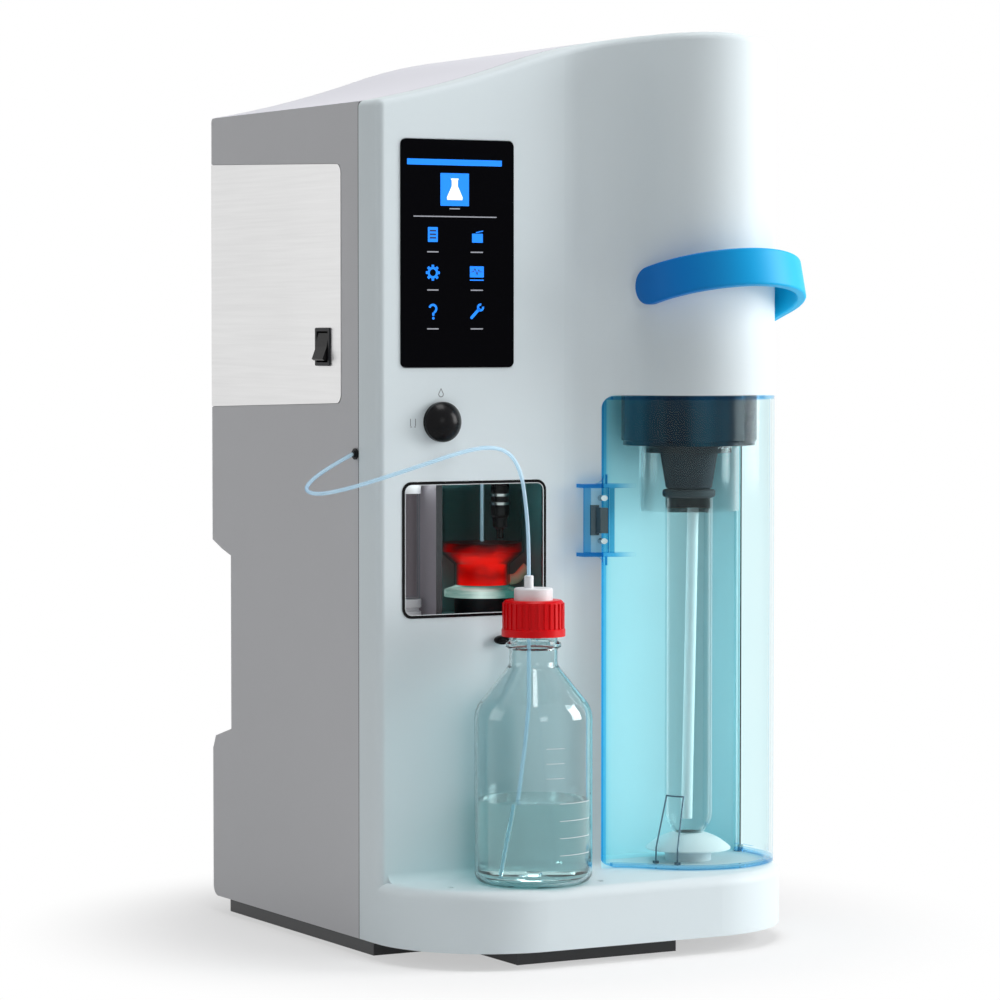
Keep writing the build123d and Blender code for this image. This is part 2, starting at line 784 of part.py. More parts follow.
def bottle_cap():
    """Ribbed screw cap with a plain lower ring and an open top for the insert."""
    low, high = cap_z
    body = turned(bottle_x, bottle_y, (insert_r + 0.3, high - 3), (neck_r + 0.4, high - 3),
                  (neck_r + 0.4, low), (cap_r + 1, low), (cap_r + 1, low + 6), (cap_r - 0.6, low + 7),
                  (cap_r - 0.8, high - 1.5), (cap_r - 2.3, high), (insert_r + 0.3, high))
    rib = Box(2.6, 2.4, high - low - 9, align=(Align.CENTER, Align.CENTER, Align.MIN))
    ribs = [Pos(bottle_x, bottle_y, 0) * Rot(0, 0, 360 / cap_ribs * i) * Pos(cap_r - 0.9, 0, low + 6.5)
            * rib for i in range(cap_ribs)]
    return fused(body, *ribs)


def cap_insert():
    """White insert under the cap with the tube fitting on top."""
    x = bottle_x + fitting_dx
    body = turned(bottle_x, bottle_y, (0, lip_z + 0.3), (neck_r - 2, lip_z + 0.3),
                  (neck_r - 2, cap_z[1] - 3.3), (insert_r, cap_z[1] - 3.3), (insert_r, insert_top - 1),
                  (insert_r - 1, insert_top), (0, insert_top))
    nut = turned(x, bottle_y, (0, insert_top - 1), (fitting_r, insert_top - 1),
                 (fitting_r, fitting_top - 0.8), (fitting_r - 0.8, fitting_top), (0, fitting_top))
    bore = rod(tube_r + 0.1, x, bottle_y, 0, insert_top - 4)
    return fused(body, nut) - bore


def dip_path(radius):
    """Round bar along the dip tube's line."""
    x = bottle_x + fitting_dx
    top = insert_top - 4
    return pipe(radius, [60, 200, 200], (x, bottle_y, top), (x, bottle_y, 215), (x - 4, bottle_y, 180),
                (x - 12, bottle_y, 125), (x - 22, bottle_y, platform_z + 8))


def dip_tube():
    """Tube that hangs from the insert to the bottom of the bottle."""
    return dip_path(tube_r)


def feed_tube():
    """Clear titrant tube that loops from the side of the body to the bottle cap."""
    points = [Vector(*p) for p in tube_route]
    radii = []
    for a, b, c in zip(points, points[1:], points[2:]):
        turn = (b - a).get_angle(c - b)
        shorter = min((b - a).length, (c - b).length)
        radii.append(0.45 * shorter / tan(radians(turn / 2)))
    print("tube radii", [round(r, 1) for r in radii])
    path = FilletPolyline(*tube_route, radius=radii)
    start = Plane(origin=path @ 0, z_dir=path % 0)
    tube = sweep(start * Circle(tube_r), path=path)
    print("tube length", round(path.length, 1), "volume ratio",
          round(tube.volume / (3.14159265 * tube_r ** 2 * path.length), 4))
    return tube


def bay():
    """Titration bay: box behind the window, open to the front."""
    front = face_y + wall + rest_gap
    x = (window_x - window_w / 2 - 4, window_x + window_w / 2 + 12)
    z = (window_z - window_h / 2 - 3, window_z + window_h / 2 + 3)
    outer = block((x[0] - bay_wall, x[1] + bay_wall), (front, front + bay_depth + bay_wall),
                  (z[0] - bay_wall, z[1] + bay_wall))
    return outer - block(x, (front - 1, front + bay_depth), z)


def window_pane():
    """Clear pane with rounded corners that fills the window opening."""
    w = window_w - 2 * window_rim - 2 * rest_gap
    h = window_h - 2 * window_rim - 2 * rest_gap
    return prism_y(w, h, window_r - window_rim, window_x, window_z, face_y - 0.2, face_y + pane_t - 0.2)


def window_frame():
    """Dark rim that carries the pane in the opening."""
    outer = prism_y(window_w - rest_gap, window_h - rest_gap, window_r, window_x, window_z,
                    face_y - 0.6, face_y + wall)
    inner = prism_y(window_w - 2 * window_rim, window_h - 2 * window_rim, window_r - window_rim,
                    window_x, window_z, face_y - 2, face_y + wall + 1)
    return outer - inner


def divider():
    """Dark post between the burette and the vessel."""
    front = face_y + wall + 1.5
    return block((divider_x - divider_w / 2, divider_x + divider_w / 2),
                 (front, front + bay_depth - 4), (bay_low + 0.05, bay_high - 0.05))


def burette():
    """Glass burette barrel."""
    tube = rod(burette_r, burette_x, burette_y, bay_low + 18, bay_high - 14)
    return tube - rod(burette_r - glass_t, burette_x, burette_y, bay_low + 20, bay_high - 10)


def burette_clamps():
    """Collars that hold the burette at both ends."""
    low = turned(burette_x, burette_y, (0, bay_low), (burette_r + 1, bay_low),
                 (burette_r + 1, bay_low + 7), (burette_r - 1, bay_low + 8),
                 (burette_r - 1, bay_low + 10), (burette_r + 1, bay_low + 11),
                 (burette_r + 1, bay_low + 18), (0, bay_low + 18))
    high = turned(burette_x, burette_y, (0, bay_high - 14), (burette_r + 1, bay_high - 14),
                  (burette_r + 1, bay_high - 2), (burette_r - 2, bay_high), (0, bay_high))
    return group(low, high)


def titration_vessel():
    """Stepped glass vessel on a flat foot."""
    low, high = vessel_neck_z
    t = glass_t
    base = vessel_base_z
    return turned(
        vessel_x, vessel_y, (0, base), (vessel_foot_r, base), (vessel_foot_r, base + 6),
        (vessel_low_r, base + 9), (vessel_low_r, low), (vessel_top_r, high),
        (vessel_top_r, vessel_top_z), (vessel_top_r - t, vessel_top_z), (vessel_top_r - t, high + 0.6),
        (vessel_low_r - t, low + 0.6), (vessel_low_r - t, base + 10), (0, base + 10))


def titration_liquid():
    """Red receiving solution in the vessel."""
    low, high = vessel_neck_z
    t = glass_t + 0.3
    r = vessel_top_r - t
    return turned(vessel_x, vessel_y, (0, vessel_base_z + 10.3), (vessel_low_r - t, vessel_base_z + 10.3),
                  (vessel_low_r - t, low + 0.6), (r, high + 0.6), (r, titrate_z), (0, titrate_z))


def stirrer():
    """Magnetic stirrer block under the vessel."""
    return turned(vessel_x, vessel_y, (0, bay_low), (24, bay_low), (24, vessel_base_z - rest_gap),
                  (0, vessel_base_z - rest_gap))


def probe():
    """Colour probe: stepped body hanging from the roof of the bay."""
    x, y = vessel_x + 18, vessel_y
    return turned(x, y, (0, bay_high), (8, bay_high), (8, 372), (6.5, 370), (6.5, 362), (3, 360),
                  (3, 352), (0, 352))


def dosing_tube():
    """Thin glass tube that doses into the vessel."""
    return rod(1.5, vessel_x, vessel_y, titrate_z + 1, bay_high)


def bay_hose():
    """Pale hose that drains the vessel through the side of the bay."""
    start = vessel_x + vessel_low_r + rest_gap
    end = window_x + window_w / 2 + 12
    return pipe(4.5, [8], (start, vessel_y - 3, 316), (start + 8, vessel_y - 3, 316), (end - 4, 42, 327))


def head():
    """Dark distillation head under the ceiling with a lower rim, flat where it meets the back."""
    body = turned(column_x, 0, (0, head_z[0] - 3.3), (head_r - 1.5, head_z[0] - 3.3),
                  (head_r - 1.5, head_z[0]), (head_r, head_z[0] + 1), (head_r, head_z[1]), (0, head_z[1]))
    front = block((column_x - head_r, column_x + head_r), (-head_r, chamber_back_y - rest_gap),
                  (0, chamber_top))
    return body & front


def splash_skirt():
    """Clear splash cup round the stopper."""
    r, t = skirt_r, 2.0
    low, high = skirt_z
    return turned(column_x, 0, (r - t, low), (r, low), (r, high), (flange_r + 0.5, high),
                  (flange_r + 0.5, high - t), (r - t, high - t))


def stopper():
    """Rubber stopper with flange, cone and the plug that enters the test tube."""
    body = turned(column_x, 0, (0, plug_z), (plug_r - 1.2, plug_z), (plug_r, plug_z + 8),
                  (plug_r, stopper_z - 1), (stopper_r[1], stopper_z), (stopper_r[0], flange_z[0]),
                  (flange_r, flange_z[0]), (flange_r, flange_z[1]), (0, flange_z[1]))
    return body - steam_tube()


def o_ring():
    """Seal between the stopper and the mouth of the tube."""
    big, small = ring_r
    low, high = ring_z
    section = make_face(Polyline((plug_r + 0.1, low), (big, low), (big, high), (plug_r + 0.1, high),
                                 close=True))
    section = fillet(section.vertices().filter_by(lambda v: v.X > big - 0.1), 2.5)
    return Pos(column_x, 0, 0) * revolve(Plane.XZ * section, Axis.Z)


def steam_tube():
    """Steam tube from the stopper to the bottom of the test tube, a little off upright."""
    return straight(steam_tube_r, (column_x + 4, -1, plug_z + 12), (column_x - 1, 1, test_tube_z[0] + 16))


def test_tube():
    """Digestion test tube with a round bottom."""
    low, high = test_tube_z
    r = test_tube_r
    t = test_tube_wall

    def outline(radius, bottom, top):
        return [arc_on(0, bottom + radius, radius, 270, 360), Line((radius, bottom + radius), (radius, top)),
                Line((radius, top), (0, top)), Line((0, top), (0, bottom))]

    outer = turned_outline(column_x, 0, outline(r, low, high))
    inner = turned_outline(column_x, 0, outline(r - t, low + t, high + 1))
    return outer - inner


def tube_seat():
    """White domed seat for the test tube with its guide stem through the platform."""
    low, high = seat_z
    dome = turned_outline(column_x, 0, [
        Line((0, low), (seat_r, low)),
        Line((seat_r, low), (seat_r, low + 1.2)),
        ThreePointArc((seat_r, low + 1.2), (seat_r * 0.68, high - 4.6), (13, high)),
        Line((13, high), (0, high)),
        Line((0, high), (0, low)),
    ])
    ball = Pos(column_x, 0, test_tube_z[0] + test_tube_r) * Sphere(test_tube_r + 0.3)
    pocket = rod(pedestal_r + 0.6, column_x, 0, low - 1, pedestal_top + seat_drop + 0.5)
    stem = rod(stem_r, column_x, 0, platform_z - 24, pedestal_top + seat_drop + 1)
    return (dome - ball - pocket) + stem


def pedestal():
    """Grey block under the seat, bored for the stem, with two small dark feet."""
    block_ = rod(pedestal_r, column_x, 0, platform_z, pedestal_top)
    return block_ - rod(stem_r + rest_gap, column_x, 0, platform_z - 1, pedestal_top + 1)


def tube_clip():
    """Spring wire clip: two legs on feet outside the seat and a hoop that hugs the tube."""
    hoop_r = test_tube_r + 1.6 + clip_r
    ends = (184, 228)
    feet = [(*on_circle(column_x, 0, clip_foot_r, a), platform_z + 1) for a in (194, 225)]
    knees = [(*on_circle(column_x, 0, clip_foot_r - 0.5, a), seat_z[0] + 4) for a in (194, 225)]
    tops = [(*on_circle(column_x, 0, hoop_r, a), clip_z) for a in ends]
    mid = (*on_circle(column_x, 0, hoop_r, sum(ends) / 2), clip_z)
    hoop = ThreePointArc(tops[0], mid, tops[1])
    link = sweep(Plane(origin=hoop @ 0, z_dir=hoop % 0) * Circle(clip_r), path=hoop)
    legs = [straight(clip_r, a, b) for a, b in zip(feet, knees)]
    arms = [straight(clip_r, a, b) for a, b in zip(knees, tops)]
    balls = [Pos(*p) * Sphere(clip_r + 0.02) for p in knees + tops]
    pads = [Pos(x, y, platform_z) * Box(4, 4, 2.4, align=(Align.CENTER, Align.CENTER, Align.MIN))
            for x, y, _ in feet]
    return fused(link, *balls, *legs, *arms, *pads)


def hinge_pins():
    """Two flanged hinge pins, one on the platform and one under the ceiling."""
    low = rod(lug_r, hinge_x, hinge_y, platform_z, door_z[0] - rest_gap)
    low = low + rod(hinge_pin_r, hinge_x, hinge_y, platform_z, door_z[0] + lug_t - 1)
    high = rod(lug_r, hinge_x, hinge_y, door_z[1] + rest_gap, chamber_top)
    high = high + rod(hinge_pin_r, hinge_x, hinge_y, door_z[1] - lug_t + 1, chamber_top)
    return group(low, high)


def knob():
    """Domed selector knob on its spindle."""
    skirt = rest_gap + 5
    rise = knob_h - skirt
    dome_r = (knob_r ** 2 + rise ** 2) / (2 * rise)
    dome_z = knob_h - dome_r
    start = degrees(atan2(skirt - dome_z, knob_r))
    dome = turned_outline(0, 0, [
        Line((0, rest_gap), (knob_r, rest_gap)),
        Line((knob_r, rest_gap), (knob_r, skirt)),
        arc_on(0, dome_z, dome_r, start, 90),
        Line((0, knob_h), (0, rest_gap)),
    ])
    spindle = rod_y(knob_shaft_r, knob_x, knob_z, face_y - 1, face_y + 20)
    return Pos(knob_x, face_y, knob_z) * Rot(90, 0, 0) * dome + spindle


def toggle():
    """Small oval drain toggle below the window."""
    plate = extrude(Plane.XZ * Ellipse(7.5, 4.0), amount=5)
    plate = Pos(toggle_x, face_y - rest_gap - 1.5, toggle_z) * plate
    plate = fillet(plate.edges(), 1.5)
    return plate + rod_y(toggle_stem_r, toggle_x, toggle_z, face_y - 3, face_y + 15)


def switch_bezel():
    """Frame of the mains switch with its body behind the plate."""
    x0 = -half - plate_proud
    flange = prism_x(bezel_w, bezel_h, 1.5, switch_y, switch_z, x0 - 1.6, x0)
    body = prism_x(bezel_w - 2.2, bezel_h - 2.2, 1, switch_y, switch_z, x0, x0 + 22)
    well = prism_x(bezel_w - 6, bezel_h - 6, 0.5, switch_y, switch_z, x0 - 3, x0 + 12)
    return (flange + body) - well


def rocker():
    """Rocker of the mains switch, its lower half standing out."""
    x0 = -half - plate_proud
    w = bezel_w - 6 - 2 * rest_gap
    h = (bezel_h - 6) / 2 - 1.6
    outline = Polyline((x0 + 3, h), (x0 - 0.6, h), (x0 - 2.4, 0), (x0 - 6.4, -h + 1.2), (x0 - 4.6, -h),
                       (x0 + 3, -h + 1.5), (x0 + 5, 0), close=True)
    wedge = Pos(0, w / 2, 0) * extrude(Plane.XZ * make_face(outline), amount=w)
    return Pos(0, switch_y, switch_z) * wedge


def display_glass():
    """Black glass of the touch panel."""
    glass = prism_y(display_w, display_h, display_r, display_x, display_z, face_y - display_proud,
                    face_y - display_proud + display_t - 0.3)
    return glass


def display_board():
    """Controller board and housing behind the touch panel."""
    low = face_y - display_proud + display_t
    housing = block((display_x - 46, display_x + 46), (low - 0.25, low + 9),
                    (display_z - 86, display_z + 86))
    board = block((display_x - 60, display_x + 60), (low + 9, low + 11), (display_z - 95, display_z + 95))
    return housing + board


def mains_inlet():
    """Mains inlet socket in the back recess."""
    body = prism_y(inlet_w - 0.8, inlet_h - 0.8, 3, inlet_x, inlet_z, recess_y - 26, recess_y + 0.1)
    flange = prism_y(inlet_w + 8, inlet_h + 6, 3, inlet_x, inlet_z, recess_y + 0.1, recess_y + 2.6)
    well = prism_y(20, 15, 2, inlet_x, inlet_z + 8, recess_y - 14, recess_y + 4)
    pins = [block((inlet_x + dx - 1, inlet_x + dx + 1), (recess_y - 14.5, recess_y - 2),
                  (inlet_z + 8 + dz - 2.5, inlet_z + 8 + dz + 2.5)) for dx, dz in ((-6, -1), (0, 2), (6, -1))]
    return fused(body + flange - well, *pins)


def hose_ports():
    """Barbed hose connectors for water, reagents and waste in the back recess."""
    ports = []
    for x in port_x:
        barb = make_face(Polyline((0, -12), (port_r - 0.5, -12), (port_r - 0.5, 0.1), (8, 0.1), (8, 5),
                                  (4, 5), (5, 9), (4, 11), (5, 15), (4, 17), (3.6, 24), (0, 24),
                                  close=True))
        frame_ = Plane(origin=(x, recess_y, port_z), x_dir=(1, 0, 0), z_dir=(0, 1, 0))
        ports.append(frame_ * revolve(Plane.XZ * barb, Axis.Z))
    return group(*ports)


def steam_generator():
    """Boiler drum with rounded ends, feet and a heater flange on top."""
    x, y = boiler_x, boiler_y
    low = skin_z + rest_gap + floor_t

    def drum(inset):
        r = boiler_r - inset
        end = boiler_end_r - inset
        z0, z1 = low + 12 + inset, low + 190 - inset
        return turned_outline(x, y, [
            Line((0, z0), (r - end, z0)),
            arc_on(r - end, z0 + end, end, 270, 360),
            Line((r, z0 + end), (r, z1 - end)),
            arc_on(r - end, z1 - end, end, 0, 90),
            Line((r - end, z1), (0, z1)),
            Line((0, z1), (0, z0)),
        ])

    feet = [rod(6, *on_circle(x, y, boiler_r - 24, a), low, low + 13) for a in (45, 165, 285)]
    heater = rod(22, x, y, low + 189, low + 200)
    return fused(drum(0), *feet, heater) - drum(boiler_t)


def condenser():
    """Tall condenser jacket with side stubs, carried by the back of the ceiling."""
    x, y = condenser_x, condenser_y
    low, high = condenser_z
    r = condenser_neck_r
    jacket = turned(x, y, (0, low), (r, low), (r, low + 20), (condenser_r, low + 32),
                    (condenser_r, high - 30), (r, high - 18), (r, high), (0, high))
    stubs = [rod_y(port_r, x, z, y, y + condenser_r + 14) for z in (low + 50, high - 48)]
    foot = block((x - 20, x + 20), (y - 10, y + 10), (shelf_z[1], low + 1))
    return fused(jacket, *stubs, foot)


def vapour_pipe():
    """Glass vapour bridge from the head over to the condenser."""
    low, high = bridge_z
    return pipe(bridge_r, [20, 26, 20], (column_x, 0, chamber_top + ceiling_t + rest_gap),
                (column_x, 0, low), (column_x - 30, 90, high + 2), (condenser_x, condenser_y, high),
                (condenser_x, condenser_y, condenser_z[1] + 0.2))


def pumps():
    """Three peristaltic pumps on the shelf: water, alkali and receiver solution."""
    units = []
    low = shelf_z[1]
    front = pump_x + motor_l
    for y in pump_y:
        motor = rod_x(motor_r, y, low + pump_h / 2 + 1, pump_x, front)
        box = block((front, front + pump_l), (y - pump_w / 2, y + pump_w / 2), (low, low + pump_h))
        rotor = rod_x(rotor_r, y, low + pump_h / 2 + 1, front + pump_l, front + pump_l + rotor_t)
        units.append(fused(box, motor, rotor))
    return group(*units)


def power_supply():
    """Switched power supply on the floor plate."""
    low = skin_z + rest_gap + floor_t
    case = block(supply_x, supply_y, (low, low + supply_h))
    depth = (supply_x[0] - 1, supply_x[0] + 4)
    slots = [block(depth, (supply_y[0] + 12 + 10 * i, supply_y[0] + 15 + 10 * i),
                   (low + supply_h / 5, low + supply_h * 4 / 5)) for i in range(supply_slots)]
    return case - fused(*slots)


def tube_gland():
    """Small dark fitting that the titrant tube leaves through."""
    return rod_x(gland_r, gland_y, gland_z, -half - 3, -half + 8) + rod_x(
        gland_r + 1.8, gland_y, gland_z, -half - 1.6, -half)


def door_magnet():
    """Magnet against the front wall of the latch pocket."""
    return front_band(latch_depth - latch_wall, -catch_proud - 1.6, magnet_x, magnet_z)


def door_screws():
    """Two screws on the front wall of the latch pocket."""
    inside = front_band(latch_depth - latch_wall, -latch_gap - 3, (latch_x[0], latch_x[1]), latch_z)
    x = sum(magnet_x) / 2
    heads = [rod_y(2.5, x, z, -2 * column_r, 0) & inside for z in (latch_z[0] + 10, latch_z[1] - 9)]
    return group(*heads)


def catch_strip(depth, proud, grow):
    """Upright strip that follows the coved front between a depth and a height over it."""
    return front_band(-proud, depth, (catch_x[0] - grow, catch_x[1] + grow),
                      (catch_z[0] - grow, catch_z[1] + grow))


def catch_plate():
    """Thin steel strip let into the cover for the magnet."""
    return catch_strip(catch_t - catch_proud, -catch_proud, 0)


parts = {
    "front_cover": front_cover, "top_cover": top_cover, "left_panel": left_panel,
    "right_panel": right_panel, "back_panel": back_panel, "base_tray": base_tray,
    "chassis": chassis, "seam_gasket": seam_gasket, "steel_plate": steel_plate, "switch_bezel": switch_bezel,
    "switch_rocker": rocker, "display_glass": display_glass, "display_board": display_board,
    "selector_knob": knob, "window_pane": window_pane, "window_frame": window_frame,
    "titration_bay": bay, "bay_divider": divider, "burette": burette,
    "burette_clamps": burette_clamps, "titration_vessel": titration_vessel,
    "titration_liquid": titration_liquid, "stirrer": stirrer, "colour_probe": probe,
    "dosing_tube": dosing_tube, "bay_hose": bay_hose, "drain_toggle": toggle,
    "chamber_back": chamber_back, "distillation_head": head, "splash_skirt": splash_skirt,
    "stopper": stopper, "o_ring": o_ring, "steam_tube": steam_tube, "test_tube": test_tube,
    "tube_seat": tube_seat, "seat_pedestal": pedestal, "tube_clip": tube_clip, "door": door,
    "door_magnet": door_magnet, "door_screws": door_screws, "catch_plate": catch_plate,
    "hinge_pins": hinge_pins, "lever": lever,
    "lever_shaft": lever_shaft, "bottle": bottle, "bottle_liquid": bottle_liquid,
    "bottle_cap": bottle_cap, "cap_insert": cap_insert, "dip_tube": dip_tube,
    "feed_tube": feed_tube, "tube_gland": tube_gland, "mains_inlet": mains_inlet,
    "hose_ports": hose_ports, "steam_generator": steam_generator, "condenser": condenser,
    "vapour_pipe": vapour_pipe, "pumps": pumps, "power_supply": power_supply,
}

for name, make in parts.items():
    save(name, make())
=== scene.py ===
import bmesh
import bpy
from math import cos, pi, radians, sin
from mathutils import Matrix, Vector


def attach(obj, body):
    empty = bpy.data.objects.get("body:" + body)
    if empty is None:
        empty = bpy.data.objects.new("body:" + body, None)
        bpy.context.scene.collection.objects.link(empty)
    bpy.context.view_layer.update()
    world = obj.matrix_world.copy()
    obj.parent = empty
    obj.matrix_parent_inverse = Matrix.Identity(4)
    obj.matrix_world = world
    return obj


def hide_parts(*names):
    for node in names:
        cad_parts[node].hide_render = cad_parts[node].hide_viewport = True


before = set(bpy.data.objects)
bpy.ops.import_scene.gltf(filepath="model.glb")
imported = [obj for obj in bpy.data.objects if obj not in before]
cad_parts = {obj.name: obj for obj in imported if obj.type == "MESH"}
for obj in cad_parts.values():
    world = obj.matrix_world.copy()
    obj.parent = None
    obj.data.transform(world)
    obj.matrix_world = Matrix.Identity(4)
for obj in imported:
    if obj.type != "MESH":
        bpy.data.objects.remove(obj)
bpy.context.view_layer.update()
scene = bpy.context.scene
scene.view_settings.view_transform = "Standard"

MM = 0.001


def mm(*values):
    """Point in metres from millimetres."""
    return tuple(v * MM for v in values)


# Camera and titrant tube

def bench_camera():
    """Camera a little above the platform, to the left of the unit's front."""
    data = bpy.data.cameras.new("bench_camera")
    data.lens = 137.85
    data.sensor_width = 36
    data.clip_end = 60
    camera = bpy.data.objects.new("bench_camera", data)
    camera.location = (-1.6604, -2.8690, 0.5298)
    camera.rotation_euler = (radians(90 - 2.478), radians(-0.009), radians(-28.96))
    scene.collection.objects.link(camera)
    scene.camera = camera


TUBE_ROUTE = [
    (-195.5, 36.3, 428.2),
    (-211.0, 37.5, 420.5),
    (-233.0, 36.0, 408.5),
    (-248.5, 22.5, 399.0),
    (-246.0, 2.0, 395.5),
    (-227.0, -17.0, 401.0),
    (-201.0, -36.0, 411.0),
    (-172.0, -50.0, 421.5),
    (-142.0, -57.5, 431.5),
    (-117.0, -60.0, 436.0),
    (-96.5, -59.5, 431.5),
    (-84.5, -58.5, 413.5),
    (-80.0, -57.5, 390.0),
    (-76.0, -56.3, 358.0),
    (-76.0, -56.3, 326.4),
]


def titrant_tube(finish):
    """Thin clear tube from the side of the body to the bottle cap."""
    curve = bpy.data.curves.new("titrant_tube", "CURVE")
    curve.dimensions = "3D"
    spline = curve.splines.new("NURBS")
    spline.points.add(len(TUBE_ROUTE) - 1)
    for point, place in zip(spline.points, TUBE_ROUTE):
        point.co = (*mm(*place), 1)
    spline.order_u = 3
    spline.use_endpoint_u = True
    spline.resolution_u = 12
    curve.bevel_depth = 1.6 * MM
    curve.bevel_resolution = 5
    tube = bpy.data.objects.new("titrant_tube", curve)
    scene.collection.objects.link(tube)
    curve.materials.append(finish)
    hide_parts("feed_tube")
    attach(tube, "body")
    mm(*TUBE_ROUTE[0])
    return tube


# Shader maths

class Value:
    """Shader value that takes part in Python sums."""

    def __init__(self, finish, socket):
        self.finish = finish
        self.socket = socket

    def maths(self, operation, first, second):
        return self.finish.node("ShaderNodeMath", {"operation": operation}, {0: first, 1: second})

    def __add__(self, other):
        return self.maths("ADD", self, other)

    def __radd__(self, other):
        return self.maths("ADD", other, self)

    def __sub__(self, other):
        return self.maths("SUBTRACT", self, other)

    def __rsub__(self, other):
        return self.maths("SUBTRACT", other, self)

    def __mul__(self, other):
        return self.maths("MULTIPLY", self, other)

    def __rmul__(self, other):
        return self.maths("MULTIPLY", other, self)

    def __gt__(self, other):
        return self.maths("GREATER_THAN", self, other)

    def __lt__(self, other):
        return self.maths("LESS_THAN", self, other)

    def __abs__(self):
        return self.maths("ABSOLUTE", self, 0.0)

    def __or__(self, other):
        return self.maths("MAXIMUM", self, other)

    def __and__(self, other):
        return self.maths("MINIMUM", self, other)


class Finish:
    """One procedural material, or the world, and its nodes."""

    def __init__(self, name, owner=None):
        self.material = owner or bpy.data.materials.new(name)
        self.material.use_nodes = True
        self.tree = self.material.node_tree
        self.tree.nodes.clear()

    def node(self, kind, settings=None, sockets=None, output=0):
        """Adds a node, with its settings first and then its socket values or links."""
        made = self.tree.nodes.new(kind)
        for name, value in (settings or {}).items():
            if name == "stops":
                self.set_stops(made.color_ramp, value)
            else:
                setattr(made, name, value)
        for name, value in (sockets or {}).items():
            if isinstance(value, Value):
                self.tree.links.new(value.socket, made.inputs[name])
            else:
                made.inputs[name].default_value = value
        return Value(self, made.outputs[output]) if made.outputs else None

    def set_stops(self, ramp, stops):
        while len(ramp.elements) < len(stops):
            ramp.elements.new(0.5)
        for element, (place, colour) in zip(ramp.elements, stops):
            element.position = place
            element.color = colour

    def place(self, stretch=(1, 1, 1)):
        """Object coordinates in metres, stretched along each axis."""
        coordinates = self.node("ShaderNodeTexCoord", output="Object")
        return self.node("ShaderNodeMapping", sockets={"Vector": coordinates, "Scale": stretch})

    def noise(self, scale, detail=2.0, stretch=(1, 1, 1)):
        """Noise with features about 1/scale metres wide."""
        return self.node("ShaderNodeTexNoise",
                         sockets={"Vector": self.place(stretch), "Scale": scale, "Detail": detail})

    def axes(self, source="Object"):
        """The three object coordinates, or the three parts of the surface's direction."""
        coordinates = self.node("ShaderNodeTexCoord", output=source)
        split = [self.node("ShaderNodeSeparateXYZ", sockets={"Vector": coordinates}, output=i)
                 for i in range(3)]
        return split

    def ray(self, *kinds):
        """One where the light path is any of these kinds of ray."""
        found = [self.node("ShaderNodeLightPath", output=f"Is {kind} Ray") for kind in kinds]
        total = found[0]
        for more in found[1:]:
            total = total | more
        return total

    def ramp(self, value, low, high, start=0.0, end=1.0):
        """Smooth step of a value from start to end."""
        return self.node("ShaderNodeMapRange", {"interpolation_type": "SMOOTHSTEP"},
                         {"Value": value, "From Min": low, "From Max": high, "To Min": start, "To Max": end})

    def facing(self):
        """Zero face on, one where the surface is seen edge on, from either side."""
        return self.node("ShaderNodeLayerWeight", sockets={"Blend": 0.5}, output="Facing")

    def turned(self, low, high):
        """One where the surface turns away from the eye."""
        return self.ramp(self.facing(), low, high)

    def sheen(self, gloss=1.0):
        """Share of light a thin clear wall reflects, the same from both sides."""
        away = self.facing()
        fourth = away * away * away * away
        return (fourth * away * 0.9 + 0.005) * gloss

    def reflection(self, roughness, normal):
        """Clear surface reflection without a colour of its own."""
        return self.principled(Base_Color=(1, 1, 1, 1), Metallic=1.0, Roughness=roughness, Normal=normal)

    def blend(self, amount, first, second):
        """Colour between two by an amount."""
        return self.node("ShaderNodeMix", {"data_type": "RGBA"},
                         {"Factor": amount, 6: rgba(first), 7: rgba(second)}, output=2)

    def bump(self, height, strength, depth):
        return self.node("ShaderNodeBump",
                         sockets={"Height": height, "Strength": strength, "Distance": depth})

    def principled(self, **sockets):
        names = {key.replace("_", " "): value for key, value in sockets.items()}
        return self.node("ShaderNodeBsdfPrincipled", sockets=names)

    def mix(self, amount, first, second):
        return self.node("ShaderNodeMixShader", sockets={0: amount, 1: first, 2: second})

    def clear(self, colour):
        return self.node("ShaderNodeBsdfTransparent", sockets={"Color": rgba(colour)})

    def done(self, shader):
        self.node("ShaderNodeOutputMaterial", sockets={"Surface": shader})
        return self.material


def rgba(colour):
    """Colour with alpha, or the link that it already is."""
    if isinstance(colour, Value):
        return colour
    return (*colour, 1.0) if len(colour) == 3 else colour


# Finishes

def moulded(name, colour, roughness, grain=2200, depth=0.00003, coat=0.0, specular=0.4):
    """Moulded plastic with faint flow shades and a fine eroded grain."""
    f = Finish(name)
    flow = f.noise(9, 3)
    speck = f.noise(grain, 1)
    shade = tuple(c * 0.94 for c in colour)
    tone = f.blend(flow * 0.7 + speck * 0.25, colour, shade)
    rough = roughness - 0.05 + f.noise(60, 2) * 0.1
    surface = f.principled(Base_Color=tone, Roughness=rough, Normal=f.bump(speck, 0.35, depth),
                           Coat_Weight=coat, Coat_Roughness=0.12, Specular_IOR_Level=specular)
    return f.done(surface)


